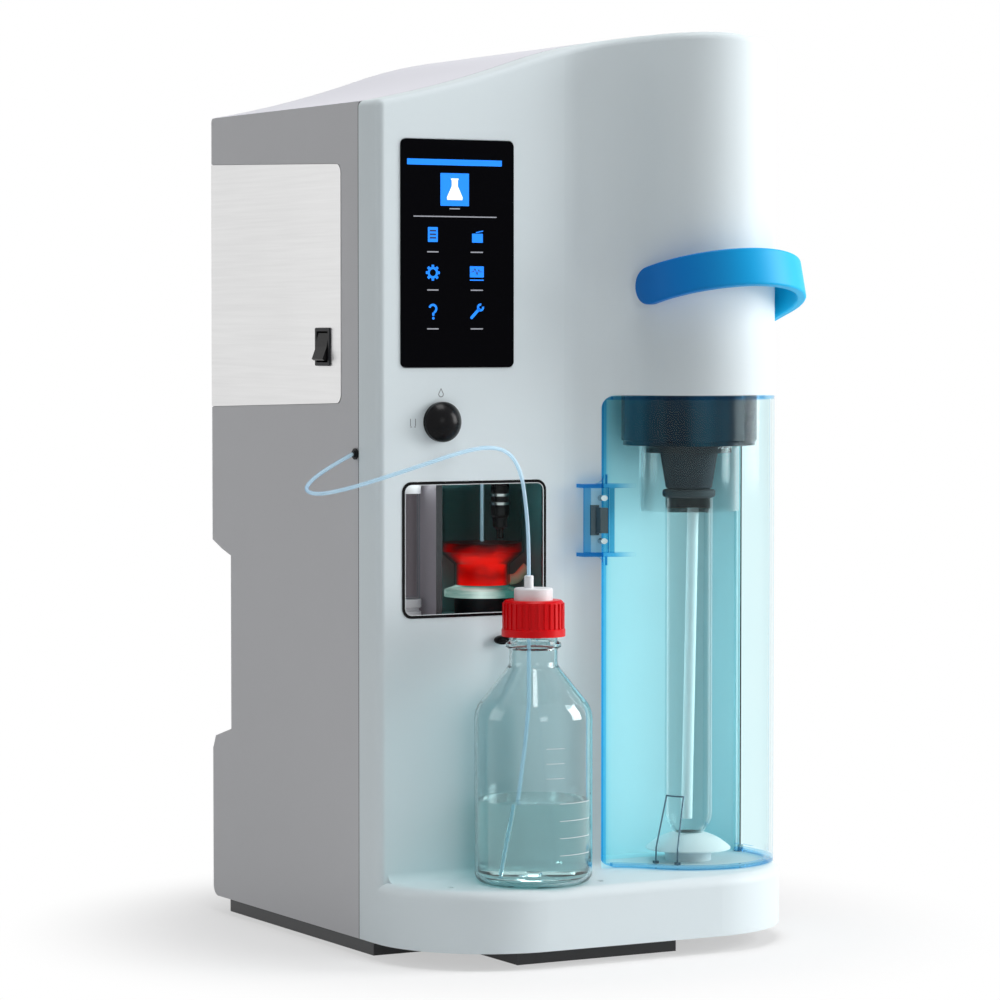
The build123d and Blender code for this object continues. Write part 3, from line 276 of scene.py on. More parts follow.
def housing_white():
    """Shell plastic, with painted turquoise light and a painted glow in the chamber, where the door's colour
    falls on it.
    """
    f = Finish("shell_white")
    x, y, z = f.axes()
    flow = f.noise(9, 3)
    speck = f.noise(2200, 1)
    off_axis = x - COLUMN_X
    near_axis = (off_axis * off_axis + y * y) < COLUMN_INNER * COLUMN_INNER
    behind_front = (y > 0.002) & (x > FREE_EDGE - 0.0015) & (x < COLUMN_X + COLUMN_INNER)
    painted_door_light = (near_axis | behind_front) & (z > DOOR_LOW + 0.001) & (z < DOOR_HIGH + 0.001)
    plain = f.blend(flow * 0.7 + speck * 0.25, (0.76, 0.84, 0.87), (0.71, 0.79, 0.82))
    # In the chamber the turquoise colour and the glow are painted light from the door.
    tone = f.blend(painted_door_light, plain, (0.55, 0.92, 0.97))
    glow = f.blend(painted_door_light, (0.0, 0.0, 0.0), (0.40, 0.78, 0.86))
    surface = f.principled(Base_Color=tone, Roughness=0.42 + f.noise(60, 2) * 0.1, Specular_IOR_Level=0.25,
                           Normal=f.bump(speck, 0.35, 0.00003), Emission_Color=glow, Emission_Strength=0.4)
    return f.done(surface)


def painted(name, colour, roughness):
    """Powder coat with fine orange peel and a little speckle."""
    f = Finish(name)
    peel = f.noise(900, 2)
    speck = f.noise(4200, 0)
    drift = f.noise(5, 3)
    dark = tuple(c * 0.86 for c in colour)
    tone = f.blend(speck * 0.35 + drift * 0.35, colour, dark)
    rough = roughness - 0.06 + peel * 0.12
    surface = f.principled(Base_Color=tone, Roughness=rough, Normal=f.bump(peel + speck * 0.3, 0.4, 0.00005))
    return f.done(surface)


def brushed(name, colour, roughness, stretch):
    """Metal brushed along the short side of stretch."""
    f = Finish(name)
    fine = f.noise(60, 3, stretch)
    broad = f.noise(8, 2)
    dark = tuple(c * 0.8 for c in colour)
    tone = f.blend(fine * 0.6 + broad * 0.3, colour, dark)
    rough = roughness - 0.07 + fine * 0.14
    surface = f.principled(Base_Color=tone, Metallic=1.0, Roughness=rough, Normal=f.bump(fine, 0.25, 0.00004))
    return f.done(surface)


def gloss_black(name, colour, roughness=0.12, specular=0.5, coat=0.5):
    """Polished dark plastic with faint smears."""
    f = Finish(name)
    smear = f.noise(35, 4)
    tone = f.blend(f.noise(300, 2) * 0.5, colour, tuple(c * 0.6 + 0.002 for c in colour))
    surface = f.principled(Base_Color=tone, Roughness=roughness - 0.03 + smear * 0.08, Coat_Weight=coat,
                           Coat_Roughness=0.05, Specular_IOR_Level=specular,
                           Normal=f.bump(smear, 0.03, 0.0002))
    return f.done(surface)


def rubber(name, colour):
    """Matt rubber with a dusty bloom."""
    f = Finish(name)
    bloom = f.noise(120, 4)
    pits = f.noise(1500, 2)
    tone = f.blend(bloom * 0.6, colour, tuple(c * 1.5 + 0.01 for c in colour))
    surface = f.principled(Base_Color=tone, Roughness=0.5 + bloom * 0.2, Specular_IOR_Level=0.2,
                           Normal=f.bump(pits, 0.5, 0.00008))
    return f.done(surface)


def glassware(name, tint, edge, low=0.45, high=0.98, gloss=1.0):
    """Thin blown glass: clear face on, darker where it turns away, with a clean reflection."""
    f = Finish(name)
    streak = f.noise(90, 2, (1, 1, 0.15))
    body = f.mix(f.turned(low, high), f.clear(tint), f.clear(edge))
    shine = f.reflection(0.03 + streak * 0.03, f.bump(streak, 0.05, 0.0002))
    return f.done(f.mix(f.sheen(gloss), body, shine))


def lit_vessel():
    """Glass of the vessel, its foot given a painted glow as if lit from below, brightest in the middle."""
    f = Finish("lit_vessel")
    x, y, z = f.axes()
    streak = f.noise(90, 2, (1, 1, 0.3))
    rings = f.noise(420, 2, (0.1, 0.1, 1))
    body = f.mix(f.turned(0.5, 0.98), f.clear((0.96, 0.985, 0.98)), f.clear((0.42, 0.60, 0.60)))
    # Painted light: the foot glows, brightest in the middle.
    middle = f.ramp(abs(x - FOOT_BRIGHT_X) + rings * 0.014, 0.028, 0.004)
    tone = f.blend(middle, (0.02, 0.13, 0.11), (0.85, 1.0, 0.93))
    glow = f.principled(Base_Color=(0.1, 0.25, 0.22, 1), Roughness=0.1 + streak * 0.05,
                        Emission_Color=tone, Emission_Strength=0.8)
    foot = f.ramp(z, 0.3125, 0.3085)
    body = f.mix(foot * 0.85, body, glow)
    shine = f.reflection(0.03 + streak * 0.03, f.bump(streak, 0.05, 0.0002))
    return f.done(f.mix(f.sheen(0.4), body, shine))


def edge_lit_glass():
    """Test tube glass with a painted highlight line down the side that faces the key light."""
    f = Finish("test_glass")
    across, towards = f.axes("Normal")[:2]
    streak = f.noise(90, 2, (1, 1, 0.15))
    body = f.mix(f.turned(0.5, 0.98), f.clear((0.98, 0.99, 0.99)), f.clear((0.60, 0.82, 0.86)))
    # Painted highlight: a glowing line picked out by the surface's direction.
    glow = f.principled(Base_Color=(0.9, 0.97, 1, 1), Roughness=0.1 + streak * 0.05,
                        Emission_Color=f.blend(streak, (0.8, 0.97, 1.0), (1, 1, 1)), Emission_Strength=0.7)
    line = f.ramp(across * 0.88 - towards * 0.47, 0.94, 0.985)
    body = f.mix(line * 0.8, body, glow)
    shine = f.reflection(0.03 + streak * 0.03, f.bump(streak, 0.05, 0.0002))
    return f.done(f.mix(f.sheen(2.0), body, shine))


def soft_tube(name):
    """Milky blue plastic tube with a clear core, its milky skin given a weak painted glow."""
    f = Finish(name)
    streak = f.noise(70, 2, (1, 1, 0.4))
    # The skin's emission is a weak painted glow.
    skin = f.principled(Base_Color=f.blend(streak, (0.62, 0.84, 0.97), (0.80, 0.93, 1.0)),
                        Roughness=0.2 + streak * 0.1, Normal=f.bump(streak, 0.05, 0.0002),
                        Emission_Color=f.blend(streak, (0.30, 0.50, 0.65), (0.5, 0.7, 0.8)),
                        Emission_Strength=0.25)
    edge = f.clear((0.10, 0.46, 0.80))
    body = f.mix(f.turned(0.35, 0.9), f.clear((0.80, 0.92, 0.98)), edge)
    return f.done(f.mix(0.5, body, skin))


def refracting(name, tint, ior, roughness=0.0):
    """Solid clear glass or liquid that lets light through its shadow."""
    f = Finish(name)
    ripple = f.noise(25, 2)
    body = f.principled(Base_Color=rgba(tint), Roughness=roughness + ripple * 0.01, IOR=ior,
                        Transmission_Weight=1.0, Normal=f.bump(ripple, 0.02, 0.001))
    return f.done(f.mix(f.ray("Shadow", "Diffuse"), body, f.clear(tint)))


def tinted_door():
    """Turquoise clear plastic, deep blue at its cut edges, ribs and lips."""
    f = Finish("door_turquoise")
    x, y, z = f.axes()
    cut_face = abs(f.axes("Normal")[2]) > 0.3
    lips = (z > DOOR_HIGH - LIP) | (z < DOOR_LOW + LIP)
    ribs = ((z > RIB_LOW[0]) & (z < RIB_LOW[1])) | ((z > RIB_HIGH[0]) & (z < RIB_HIGH[1]))
    ribs = ribs * f.ramp(x, 0.047, 0.018)
    latch_edge = (z > RIB_LOW[0]) & (z < RIB_HIGH[1]) & (x < 0.0062)
    free_edge = (x > FREE_EDGE - 0.0008) & (x < FREE_EDGE + 0.0028)
    beside_edge = f.ramp(x, FREE_EDGE + 0.008, FREE_EDGE + 0.002) & (x > FREE_EDGE - 0.0008)
    cloud = f.noise(20, 2)
    light = f.clear((0.94, 0.995, 1.0))
    deep = f.clear((0.45, 0.86, 0.96))
    blue = f.clear((0.17, 0.62, 0.91))
    body = f.mix(f.turned(0.86, 0.985) + cloud * 0.03, light, deep)
    body = f.mix(beside_edge * 0.5, body, deep)
    body = f.mix((cut_face * 0.8 | lips * 0.55 | ribs | free_edge | latch_edge) * 0.85, body, blue)
    shine = f.reflection(0.05 + cloud * 0.03, f.bump(cloud, 0.04, 0.001))
    return f.done(f.mix(f.sheen(0.8), body, shine))


def divider_post():
    """Black post, pale grey on the side towards the burette."""
    f = Finish("divider_post")
    across = f.axes("Normal")[0]
    grain = f.noise(800, 1)
    tone = f.blend(across < -0.5, (0.012, 0.014, 0.018), (0.40, 0.38, 0.42))
    surface = f.principled(Base_Color=tone, Roughness=0.35 + grain * 0.1, Normal=f.bump(grain, 0.3, 0.00003))
    return f.done(surface)


def red_solution():
    """Red solution with a painted glow, bright where light comes up through it, with painted shade at its
    surface and towards its edges.
    """
    f = Finish("red_solution")
    z = f.axes()[2]
    cloud = f.noise(55, 3, (1, 1, 1.6))
    depth = (z - 0.312) * 27.0
    # Painted light: bright bands where light comes up, going dark towards the surface.
    tone = f.node("ShaderNodeValToRGB", {"stops": [(0.0, (0.80, 0.004, 0.002, 1)), (0.3, (0.35, 0.0, 0.0, 1)),
                                                  (0.55, (0.95, 0.006, 0.002, 1)), (0.8, (0.3, 0.0, 0.0, 1)),
                                                  (1.0, (0.02, 0.0, 0.0, 1))]},
                  {"Fac": depth + cloud * 0.5 - 0.25})
    # Painted shade: darker where the liquid turns away at its edges.
    rim = f.blend(f.turned(0.35, 0.9), (1.0, 1.0, 1.0), (0.15, 0.02, 0.02))
    tone = f.node("ShaderNodeMix", {"data_type": "RGBA", "blend_type": "MULTIPLY"},
                  {"Factor": 1.0, 6: tone, 7: rim}, output=2)
    # The emission is a painted glow.
    surface = f.principled(Base_Color=tone, Roughness=0.3 + cloud * 0.05, Emission_Color=tone,
                           Emission_Strength=0.75, Specular_IOR_Level=0.05)
    return f.done(surface)


def bay_lining():
    """Teal lining of the bay, mauve grey with a painted glow on the burette's side of the divider."""
    f = Finish("bay_lining")
    x = f.axes()[0]
    cloud = f.noise(12, 3)
    teal = f.blend(cloud, (0.10, 0.30, 0.32), (0.15, 0.42, 0.43))
    left = x < DIVIDER_X
    tone = f.blend(left, teal, (0.42, 0.38, 0.40))
    # Painted light: a faint glow on the burette's side of the divider.
    glow = f.blend(left, (0.0, 0.0, 0.0), f.blend(f.noise(70, 2, (1, 1, 0.05)), (0.14, 0.12, 0.125),
                                                  (0.26, 0.23, 0.24)))
    surface = f.principled(Base_Color=tone, Roughness=0.3 + cloud * 0.1, Specular_IOR_Level=0.2,
                           Normal=f.bump(cloud, 0.05, 0.0005), Emission_Color=glow, Emission_Strength=0.8)
    return f.done(surface)


def head_plastic():
    """Black head with painted deep blue upright bands, standing in for the tinted door's reflection on it."""
    f = Finish("head_black")
    # Painted reflection: deep blue upright bands from the tinted door.
    bands = f.noise(26, 2, (1, 1, 0.02))
    amount = f.ramp(bands, 0.45, 0.75)
    tone = f.blend(amount, (0.001, 0.005, 0.014), (0.01, 0.07, 0.11))
    surface = f.principled(Base_Color=tone, Roughness=0.18 + bands * 0.06, Specular_IOR_Level=0.15)
    return f.done(surface)


def seam_rubber():
    """Black rubber of the seam, with painted pale turquoise light where it lines the chamber's right edge."""
    f = Finish("seam_rubber")
    x, y, z = f.axes()
    dust = f.noise(200, 3)
    # Painted light: pale turquoise where the seam lines the chamber.
    painted_door_light = (x > 0.15) & (x < COLUMN_X + COLUMN_INNER) & (z > DOOR_LOW) & (z < DOOR_HIGH)
    dark = f.blend(dust, (0.005, 0.005, 0.006), (0.012, 0.012, 0.013))
    tone = f.blend(painted_door_light, dark, (0.50, 0.88, 0.93))
    surface = f.principled(Base_Color=tone, Roughness=0.5 + dust * 0.2, Specular_IOR_Level=0.2,
                           Normal=f.bump(dust, 0.3, 0.00005))
    return f.done(surface)


def glowing(name, colour, strength):
    """Glowing colour with a faint pixel grain: lit screens, the lamp strip, and a painted glow on the steam
    tube.
    """
    f = Finish(name)
    grain = f.noise(2500, 0)
    tone = f.blend(grain * 0.5, colour, tuple(c * 0.8 for c in colour))
    surface = f.principled(Base_Color=rgba(tone), Roughness=0.25 + grain * 0.1, Emission_Color=tone,
                           Emission_Strength=strength)
    return f.done(surface)


def lever_blue():
    """Bright blue moulding with a satin skin, with painted shade deepening towards its left end."""
    f = Finish("lever_blue")
    flow = f.noise(14, 3)
    speck = f.noise(2400, 1)
    # Painted shade: the blue darkens towards the lever's left end.
    across = f.ramp(f.axes()[0] + flow * 0.01, 0.035, 0.19)
    tone = f.blend(across, (0.0, 0.15, 0.52), (0.0, 0.50, 0.88))
    surface = f.principled(Base_Color=tone, Roughness=0.4 + flow * 0.08, Specular_IOR_Level=0.2,
                           Normal=f.bump(speck, 0.3, 0.00003))
    return f.done(surface)


DOOR_LOW, DOOR_HIGH = 0.0668, 0.4762
LIP = 0.003
FREE_EDGE = 0.022
RIB_LOW = (0.3377, 0.3414)
RIB_HIGH = (0.3972, 0.4009)

FOOT_BRIGHT_X = -0.0795
COLUMN_X = 0.1175
COLUMN_INNER = 0.0735
shell_white = housing_white()
liner_pale = moulded("liner_pale", (0.80, 0.84, 0.86), 0.42)
liner_aqua = moulded("liner_aqua", (0.56, 0.87, 0.92), 0.42)
# Painted light: a weak turquoise glow on the steam tube.
steam_painted_glow = glowing("steam_painted_glow", (0.80, 0.97, 1.0), 0.12)
seat_white = moulded("seat_white", (0.93, 0.95, 0.95), 0.4, coat=0.1)
DIVIDER_X = -0.1345
bay_teal = bay_lining()
wire_dark = brushed("wire_dark", (0.12, 0.16, 0.20), 0.3, (8, 8, 8))
magnet_grey = painted("magnet_grey", (0.07, 0.09, 0.10), 0.4)
cream = rubber("hose_cream", (0.62, 0.60, 0.42))
grey_paint = painted("grey_paint", (0.52, 0.525, 0.545), 0.42)
top_paint = painted("top_paint", (0.78, 0.78, 0.86), 0.4)
plinth_paint = painted("plinth_paint", (0.045, 0.047, 0.05), 0.5)
zinc = painted("zinc_plate", (0.4, 0.41, 0.42), 0.35)
steel_sheet = brushed("steel_sheet", (0.78, 0.78, 0.78), 0.42, (1, 0.15, 6))
steel_bar = brushed("steel_bar", (0.62, 0.62, 0.63), 0.25, (8, 8, 8))
black_satin = moulded("black_satin", (0.012, 0.013, 0.016), 0.42, specular=0.15)
head_black = head_plastic()
panel_black = gloss_black("panel_black", (0.001, 0.001, 0.002), 0.1, 0.02, 0.0)
knob_black = gloss_black("knob_black", (0.003, 0.003, 0.004), 0.25, 0.12, 0.0)
gasket_black = seam_rubber()
board_green = moulded("board_green", (0.03, 0.16, 0.09), 0.5)
stopper_rubber = rubber("stopper_rubber", (0.004, 0.008, 0.014))
seal_rubber = rubber("seal_rubber", (0.03, 0.035, 0.04))
tube_glass = glassware("tube_glass", (0.98, 0.99, 0.99), (0.60, 0.80, 0.84))
test_glass = edge_lit_glass()
vessel_glass = lit_vessel()
skirt_clear = glassware("skirt_clear", (0.97, 0.99, 0.995), (0.62, 0.84, 0.90), 0.6, 0.98, 2.0)
pane_clear = glassware("pane_clear", (0.97, 0.985, 0.985), (0.7, 0.78, 0.8), 0.6, 1.0, 0.5)
post_black = divider_post()
lamp_white = glowing("lamp_white", (0.95, 1.0, 0.98), 6.0)
bottle_glass = refracting("bottle_glass", (0.74, 0.84, 0.85), 1.45)
titrant = refracting("titrant", (0.70, 0.88, 0.87), 1.33)
red = red_solution()
door_plastic = tinted_door()
lever_plastic = lever_blue()
cap_red = moulded("cap_red", (0.72, 0.002, 0.006), 0.34, specular=0.15)
insert_white = moulded("insert_white", (0.84, 0.85, 0.87), 0.4)
tube_plastic = soft_tube("tube_plastic")
screen_blue = glowing("screen_blue", (0.0, 0.22, 0.95), 0.62)
screen_white = glowing("screen_white", (0.85, 0.88, 0.9), 0.7)
screen_grey = glowing("screen_grey", (0.3, 0.31, 0.35), 0.4)
screen_dark = glowing("screen_dark", (0.004, 0.006, 0.02), 0.4)
print_grey = moulded("print_grey", (0.25, 0.27, 0.29), 0.5)
# White print, also used for the painted highlight ring at the window's rim.
print_and_highlight_white = moulded("print_and_highlight_white", (0.8, 0.84, 0.86), 0.5)

FINISHES = {
    "front_cover": shell_white, "top_cover": top_paint, "left_panel": grey_paint, "right_panel": grey_paint,
    "back_panel": grey_paint, "base_tray": plinth_paint, "chassis": zinc,
    "seam_gasket": gasket_black, "steel_plate": steel_sheet,
    "switch_bezel": black_satin, "switch_rocker": knob_black, "display_glass": panel_black,
    "display_board": board_green, "selector_knob": knob_black, "window_pane": pane_clear,
    "window_frame": knob_black, "titration_bay": bay_teal, "bay_divider": post_black,
    "burette": tube_glass, "burette_clamps": insert_white, "titration_vessel": vessel_glass,
    "titration_liquid": red, "stirrer": black_satin, "colour_probe": knob_black, "dosing_tube": tube_plastic,
    "bay_hose": cream, "drain_toggle": knob_black, "chamber_back": liner_aqua,
    "distillation_head": head_black, "splash_skirt": skirt_clear, "stopper": stopper_rubber,
    "o_ring": seal_rubber, "steam_tube": steam_painted_glow, "test_tube": test_glass, "tube_seat": seat_white,
    "seat_pedestal": liner_pale, "tube_clip": wire_dark, "door": door_plastic, "door_magnet": magnet_grey,
    "door_screws": steel_bar, "catch_plate": magnet_grey, "hinge_pins": steel_bar, "lever": lever_plastic,
    "lever_shaft": steel_bar, "bottle": bottle_glass, "bottle_liquid": titrant, "bottle_cap": cap_red,
    "cap_insert": insert_white, "dip_tube": tube_plastic, "tube_gland": black_satin,
    "mains_inlet": black_satin, "hose_ports": insert_white, "steam_generator": steel_bar,
    "condenser": tube_glass, "vapour_pipe": tube_glass, "pumps": black_satin, "power_supply": zinc,
}

for name, finish in FINISHES.items():
    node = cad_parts[name]
    node.data.materials.clear()
    node.data.materials.append(finish)


# Small pieces and printed marks

def flat_piece(name, shapes, y, finish, body, thick=0.15):
    """Thin plates seen from the front: each shape is a loop of X and Z in millimetres."""
    bm = bmesh.new()
    for loop in shapes:
        face = bm.faces.new([bm.verts.new(mm(x, y, z)) for x, z in loop])
        front = bmesh.ops.extrude_face_region(bm, geom=[face])
        moved = [v for v in front["geom"] if isinstance(v, bmesh.types.BMVert)]
        bmesh.ops.translate(bm, verts=moved, vec=mm(0, -thick, 0))
    bmesh.ops.recalc_face_normals(bm, faces=bm.faces)
    mesh = bpy.data.meshes.new(name)
    bm.to_mesh(mesh)
    bm.free()
    mesh.materials.append(finish)
    piece = bpy.data.objects.new(name, mesh)
    scene.collection.objects.link(piece)
    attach(piece, body)
    return piece


def tile(x, z, w, h, r=0.6, turn=0.0, steps=4):
    """Rounded rectangle round a centre, turned by an angle in degrees."""
    loop = []
    for cx, cz, start in ((w / 2 - r, h / 2 - r, 0), (r - w / 2, h / 2 - r, 90),
                          (r - w / 2, r - h / 2, 180), (w / 2 - r, r - h / 2, 270)):
        for i in range(steps + 1):
            a = radians(start + 90 * i / steps)
            loop.append((cx + r * cos(a), cz + r * sin(a)))
    c, s = cos(radians(turn)), sin(radians(turn))
    return [(x + c * px - s * pz, z + s * px + c * pz) for px, pz in loop]


def ring_parts(x, z, outer, inner, start, end, steps=24):
    """Band of a circle between two angles, as one loop."""
    angles = [radians(start + (end - start) * i / steps) for i in range(steps + 1)]
    loop = [(x + outer * cos(a), z + outer * sin(a)) for a in angles]
    return loop + [(x + inner * cos(a), z + inner * sin(a)) for a in reversed(angles)]


def disc(x, z, r, steps=24):
    return [(x + r * cos(2 * pi * i / steps), z + r * sin(2 * pi * i / steps)) for i in range(steps)]


def gear_shapes(x, z, r):
    """Gear ring with eight teeth."""
    shapes = [ring_parts(x, z, r * 0.74, r * 0.45, 0, 179.9), ring_parts(x, z, r * 0.74, r * 0.45, 180, 359.9)]
    for i in range(8):
        a = i * 45
        tooth_x = x + r * 0.84 * cos(radians(a))
        tooth_z = z + r * 0.84 * sin(radians(a))
        shapes.append(tile(tooth_x, tooth_z, r * 0.34, r * 0.36, 0.3, a))
    return shapes


def new_piece(name, bm, finish, body):
    """Turns a finished mesh into a piece that rides on a body."""
    bmesh.ops.recalc_face_normals(bm, faces=bm.faces)
    mesh = bpy.data.meshes.new(name)
    bm.to_mesh(mesh)
    bm.free()
    mesh.materials.append(finish)
    piece = bpy.data.objects.new(name, mesh)
    scene.collection.objects.link(piece)
    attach(piece, body)
    return piece


def close_band(bm, loops):
    """Skins a ring through loops of equal length, back to the first."""
    rows = [[bm.verts.new(mm(*point)) for point in loop] for loop in loops]
    for row, following in zip(rows, rows[1:] + rows[:1]):
        for i, vert in enumerate(row):
            j = (i + 1) % len(row)
            bm.faces.new([vert, row[j], following[j], following[i]])


def window_painted_highlight():
    """Pale ring between the dark rim of the window and its pane: a painted highlight along the rim's inner
    edge.
    """
    bm = bmesh.new()
    x, z, w, h, r = -100.1, 347.2, 134.6, 110.8, 6.4
    loops = []
    for grow, y in ((0.0, -4.9), (0.0, -5.7), (-1.0, -5.7), (-1.0, -4.9)):
        loops.append([(px, y, pz) for px, pz in tile(x, z, w + grow, h + grow, r + grow / 2)])
    close_band(bm, loops)
    # Painted highlight: the ring stands in for light caught on the rim's inner edge.
    return new_piece("window_painted_highlight", bm, print_and_highlight_white, "body")


def turned_ring(bm, centre, profile, steps=40):
    """Ring turned about an upright axis from a closed loop of radius and height pairs."""
    x, y = centre
    loops = []
    for radius, height in profile:
        loops.append([(x + radius * cos(2 * pi * i / steps), y + radius * sin(2 * pi * i / steps), height)
                      for i in range(steps)])
    close_band(bm, loops)


def probe_clips():
    """Two bright spring rings on the colour probe."""
    bm = bmesh.new()
    for low in (381.0, 388.5):
        turned_ring(bm, (-45.0, 50.0), [(8.05, low), (9.2, low + 0.4), (9.2, low + 2.6), (8.05, low + 3.0)])
    return new_piece("probe_clips", bm, steel_bar, "body")


def bay_lamp():
    """Light strip under the roof of the bay, behind the window's upper edge."""
    bm = bmesh.new()
    bmesh.ops.create_cube(bm, size=1.0)
    bmesh.ops.scale(bm, vec=mm(120, 5, 2), verts=bm.verts)
    bmesh.ops.translate(bm, vec=mm(-98, 8, 406.9), verts=bm.verts)
    return new_piece("bay_lamp", bm, lamp_white, "body")


def bottle_scale():
    """White graduation lines on the bottle, without figures."""
    bm = bmesh.new()
    low_marks = [(94.0 + 14.5 * i, -93, -50) for i in range(4)]
    high_marks = [(159.0 + 12.5 * i, -107, -88) for i in range(3)]
    for height, start, end in low_marks + high_marks:
        angles = [radians(start + (end - start) * k / 16) for k in range(17)]
        rows = []
        for radius, dz in ((50.03, -0.22), (50.03, 0.22), (50.12, 0.22), (50.12, -0.22)):
            rows.append([bm.verts.new(mm(-71.5 + radius * cos(a), -56.3 + radius * sin(a), height + dz))
                         for a in angles])
        for row, following in zip(rows, rows[1:] + rows[:1]):
            for k in range(16):
                bm.faces.new([row[k], row[k + 1], following[k + 1], following[k]])
        bm.faces.new([row[0] for row in rows])
        bm.faces.new([row[-1] for row in reversed(rows)])
    return new_piece("bottle_scale", bm, print_and_highlight_white, "body")


def panel_screws():
    """Domed screws that hold the back panel, with a round recess."""
    bm = bmesh.new()
    places = [(side * 172.0, 328.0, z) for side in (-1, 1) for z in (44.0, 128.0, 366.0, 700.0)]
    steps = 24
    for x, y, z in places:
        loops = []
        for radius, out in ((3.9, 0.02), (3.9, 0.7), (3.2, 1.5), (1.6, 2.0), (1.5, 1.2)):
            loops.append([bm.verts.new(mm(x + radius * cos(2 * pi * k / steps), y + out,
                                          z + radius * sin(2 * pi * k / steps))) for k in range(steps)])
        for row, following in zip(loops, loops[1:]):
            for k in range(steps):
                j = (k + 1) % steps
                bm.faces.new([row[k], row[j], following[j], following[k]])
        bm.faces.new(loops[0])
        bm.faces.new(loops[-1])
    return new_piece("panel_screws", bm, steel_bar, "body")


SCREEN_Y = -6.2
LEFT_X, RIGHT_X = -141.0, -98.7
ROWS = (614.0, 581.8, 549.0)


def screen():
    """Status bar, flask tile, divider and six icons of the touch panel."""
    blue = [tile(-120, 675.1, 91, 5.0, 0.4), tile(-120, 652.2, 27.4, 27.6, 0.4)]
    x, z = LEFT_X, ROWS[0]
    blue.append(tile(x, z, 9.4, 12.6, 0.7))
    x = RIGHT_X
    blue += [tile(x + 0.6, z - 2.6, 10.4, 7.6, 0.5), tile(x + 2.6, z + 2.8, 7.0, 0.9, 0.2, 12)]
    z = ROWS[1]
    blue += gear_shapes(LEFT_X, z, 6.6)
    blue += [tile(x, z + 1, 13.4, 9.4, 0.3), tile(x, z - 6.0, 13.4, 1.0, 0.2)]
    z = ROWS[2]
    q = LEFT_X
    blue += [ring_parts(q, z + 2.4, 4.2, 2.3, -70, 165), tile(q + 0.4, z - 2.2, 2.0, 2.8, 0.5),
             disc(q + 0.4, z - 5.6, 1.15)]
    blue += [tile(x - 1.5, z - 1.5, 2.6, 12.5, 1.2, -45), ring_parts(x + 3.6, z + 3.6, 3.4, 1.5, 75, 375)]
    flat_piece("screen_icons", blue, SCREEN_Y, screen_blue, "body", 0.12)

    x, z = -120, 652.0
    flask = [(-3.6, 9.6), (3.6, 9.6), (3.6, 8.4), (2.9, 8.2), (2.9, 3.0), (7.6, -6.6), (7.2, -8.6),
             (-7.2, -8.6), (-7.6, -6.6), (-2.9, 3.0), (-2.9, 8.2), (-3.6, 8.4)]
    white = [[(x + px, z + pz) for px, pz in flask]]
    flat_piece("screen_flask", white, SCREEN_Y - 0.12, screen_white, "body", 0.08)

    grey = [tile(-119.5, 629.3, 80, 0.9, 0.3)]
    for row in ROWS:
        for column, w in ((LEFT_X, 11), (RIGHT_X, 12)):
            grey.append(tile(column, row - 14.6, w, 1.0, 0.4))
    grey.append(tile(-120, 636.0, 10, 0.9, 0.4))
    flat_piece("screen_lines", grey, SCREEN_Y, screen_grey, "body", 0.1)

    x, z = LEFT_X, ROWS[0]
    dark = [tile(x, z + dz, 6.2, 1.3, 0.3) for dz in (3.2, 0.2, -2.8)]
    x, z = RIGHT_X, ROWS[1] + 1
    trace = [(-5.4, 0), (-3.4, 0), (-1.8, 3.0), (0.2, -2.6), (1.8, 2.0), (3.0, 0), (5.4, 0)]
    for (ax, az), (bx, bz) in zip(trace, trace[1:]):
        step = Vector((bx - ax, bz - az))
        side = Vector((-step.y, step.x)).normalized() * 0.28
        dark.append([(x + ax + side.x, z + az + side.y), (x + ax - side.x, z + az - side.y),
                     (x + bx - side.x, z + bz - side.y), (x + bx + side.x, z + bz + side.y)])
    flat_piece("screen_details", dark, SCREEN_Y - 0.12, screen_dark, "body", 0.08)


def knob_marks():
    """Printed drop over the knob and printed tube beside it."""
    drop = [ring_parts(-132.6, 479.0, 2.6, 1.8, 150, 390)]
    for side in (-1, 1):
        drop.append([(-132.6 + side * 2.25, 480.3), (-132.6 + side * 1.45, 479.9), (-132.6, 483.0),
                     (-132.6, 484.4)])
    tube = []
    for side in (-1, 1):
        tube.append(tile(-159.4 + side * 2.4, 455.4, 0.7, 6.2, 0.3))
        tube.append(tile(-159.4 + side * 1.9, 451.6, 1.6, 0.7, 0.3))
    flat_piece("knob_marks", drop + tube, -5.0, print_grey, "body", 0.06)


# Floor and light

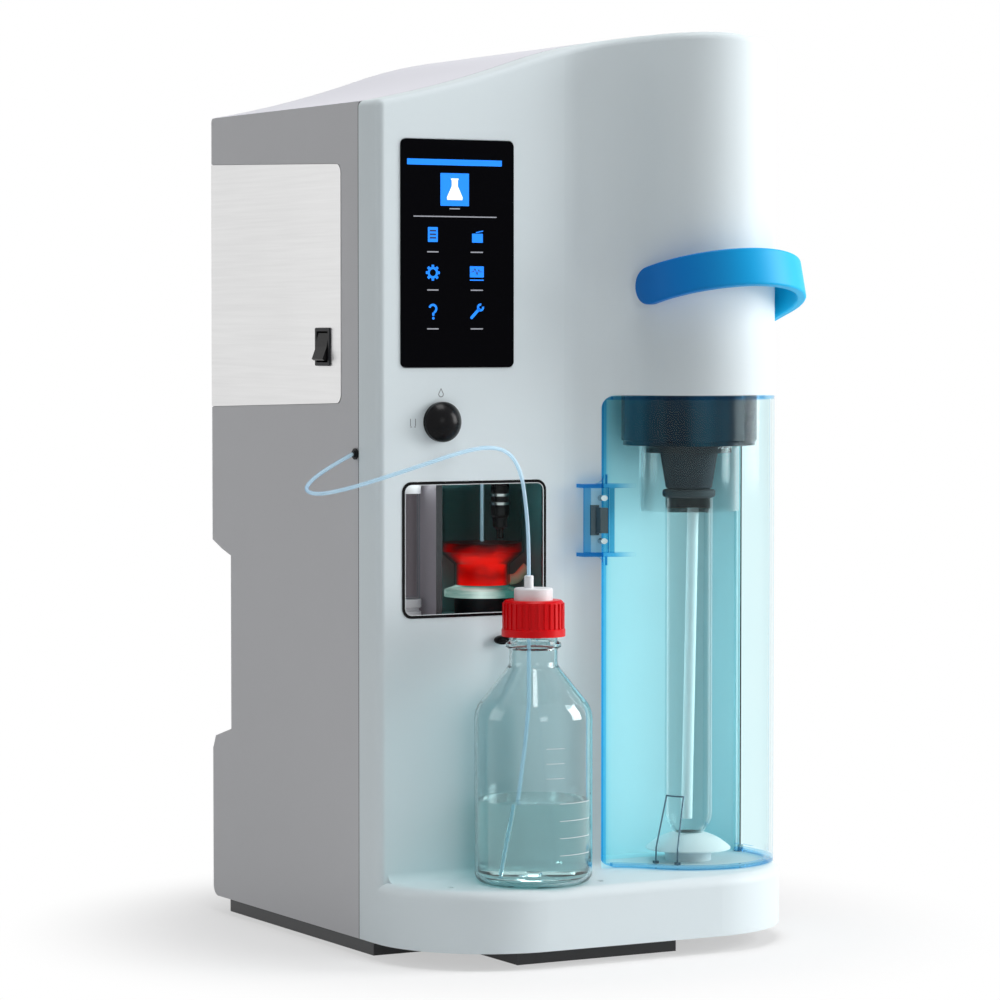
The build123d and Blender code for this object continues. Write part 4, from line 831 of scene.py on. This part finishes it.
def floor():
    """White sweep that keeps the soft shadow near the object."""
    f = Finish("floor_white")
    grain = f.noise(3, 2)
    tone = f.blend(grain * 0.2, (0.90, 0.90, 0.905), (0.87, 0.87, 0.88))
    lit = f.principled(Base_Color=tone, Roughness=0.9)
    glow = f.node("ShaderNodeEmission", sockets={"Color": (1, 1, 1, 1), "Strength": 1.0})
    coordinates = f.node("ShaderNodeTexCoord", output="Object")
    distance = f.node("ShaderNodeVectorMath", {"operation": "DISTANCE"},
                      {0: coordinates, 1: (0.0, 0.12, 0.0)}, output="Value")
    seen_white = f.ramp(distance, 0.24, 0.46, 0.5, 1.0)
    material = f.done(f.mix(f.ray("Camera", "Transmission", "Glossy") * seen_white, lit, glow))
    bm = bmesh.new()
    corners = [bm.verts.new((x, y, -0.0002)) for x, y in ((-14, -14), (14, -14), (14, 14), (-14, 14))]
    bm.faces.new(corners)
    mesh = bpy.data.meshes.new("floor")
    bm.to_mesh(mesh)
    bm.free()
    mesh.materials.append(material)
    sheet = bpy.data.objects.new("floor", mesh)
    scene.collection.objects.link(sheet)


def lamp(name, place, aim, size, power, colour=(1, 1, 1), tall=None):
    """Soft rectangular lamp at a place, aimed at a point, in metres."""
    data = bpy.data.lights.new(name, "AREA")
    data.shape = "RECTANGLE"
    data.size = size
    data.size_y = tall or size
    data.energy = power
    data.color = colour
    made = bpy.data.objects.new(name, data)
    made.location = place
    made.rotation_euler = (Vector(aim) - Vector(place)).to_track_quat("-Z", "Y").to_euler()
    scene.collection.objects.link(made)


def studio():
    """White surroundings, a key from the right and a weak fill from the left."""
    world = bpy.data.worlds.new("studio")
    f = Finish("studio", world)
    soft = f.node("ShaderNodeBackground", sockets={"Color": (0.98, 0.99, 1.0, 1), "Strength": 0.15})
    seen = f.node("ShaderNodeBackground", sockets={"Color": (1, 1, 1, 1), "Strength": 1.0})
    both = f.mix(f.ray("Camera", "Transmission", "Glossy"), soft, seen)
    f.node("ShaderNodeOutputWorld", sockets={"Surface": both})
    scene.world = world
    lamp("key", (2.62, -1.2, 1.2), (0.05, 0, 0.4), 1.3, 80, tall=1.9)
    lamp("front", (-0.5, -2.9, 0.9), (0, 0, 0.4), 0.8, 6)
    lamp("fill", (-2.6, 0.9, 1.1), (0, 0.1, 0.4), 1.6, 12)
    lamp("top", (0.0, -0.4, 2.6), (0, 0, 0.3), 1.0, 24)


bench_camera()
tube = titrant_tube(tube_plastic)
screen()
knob_marks()
window_painted_highlight()
probe_clips()
bay_lamp()
bottle_scale()
panel_screws()
floor()
studio()
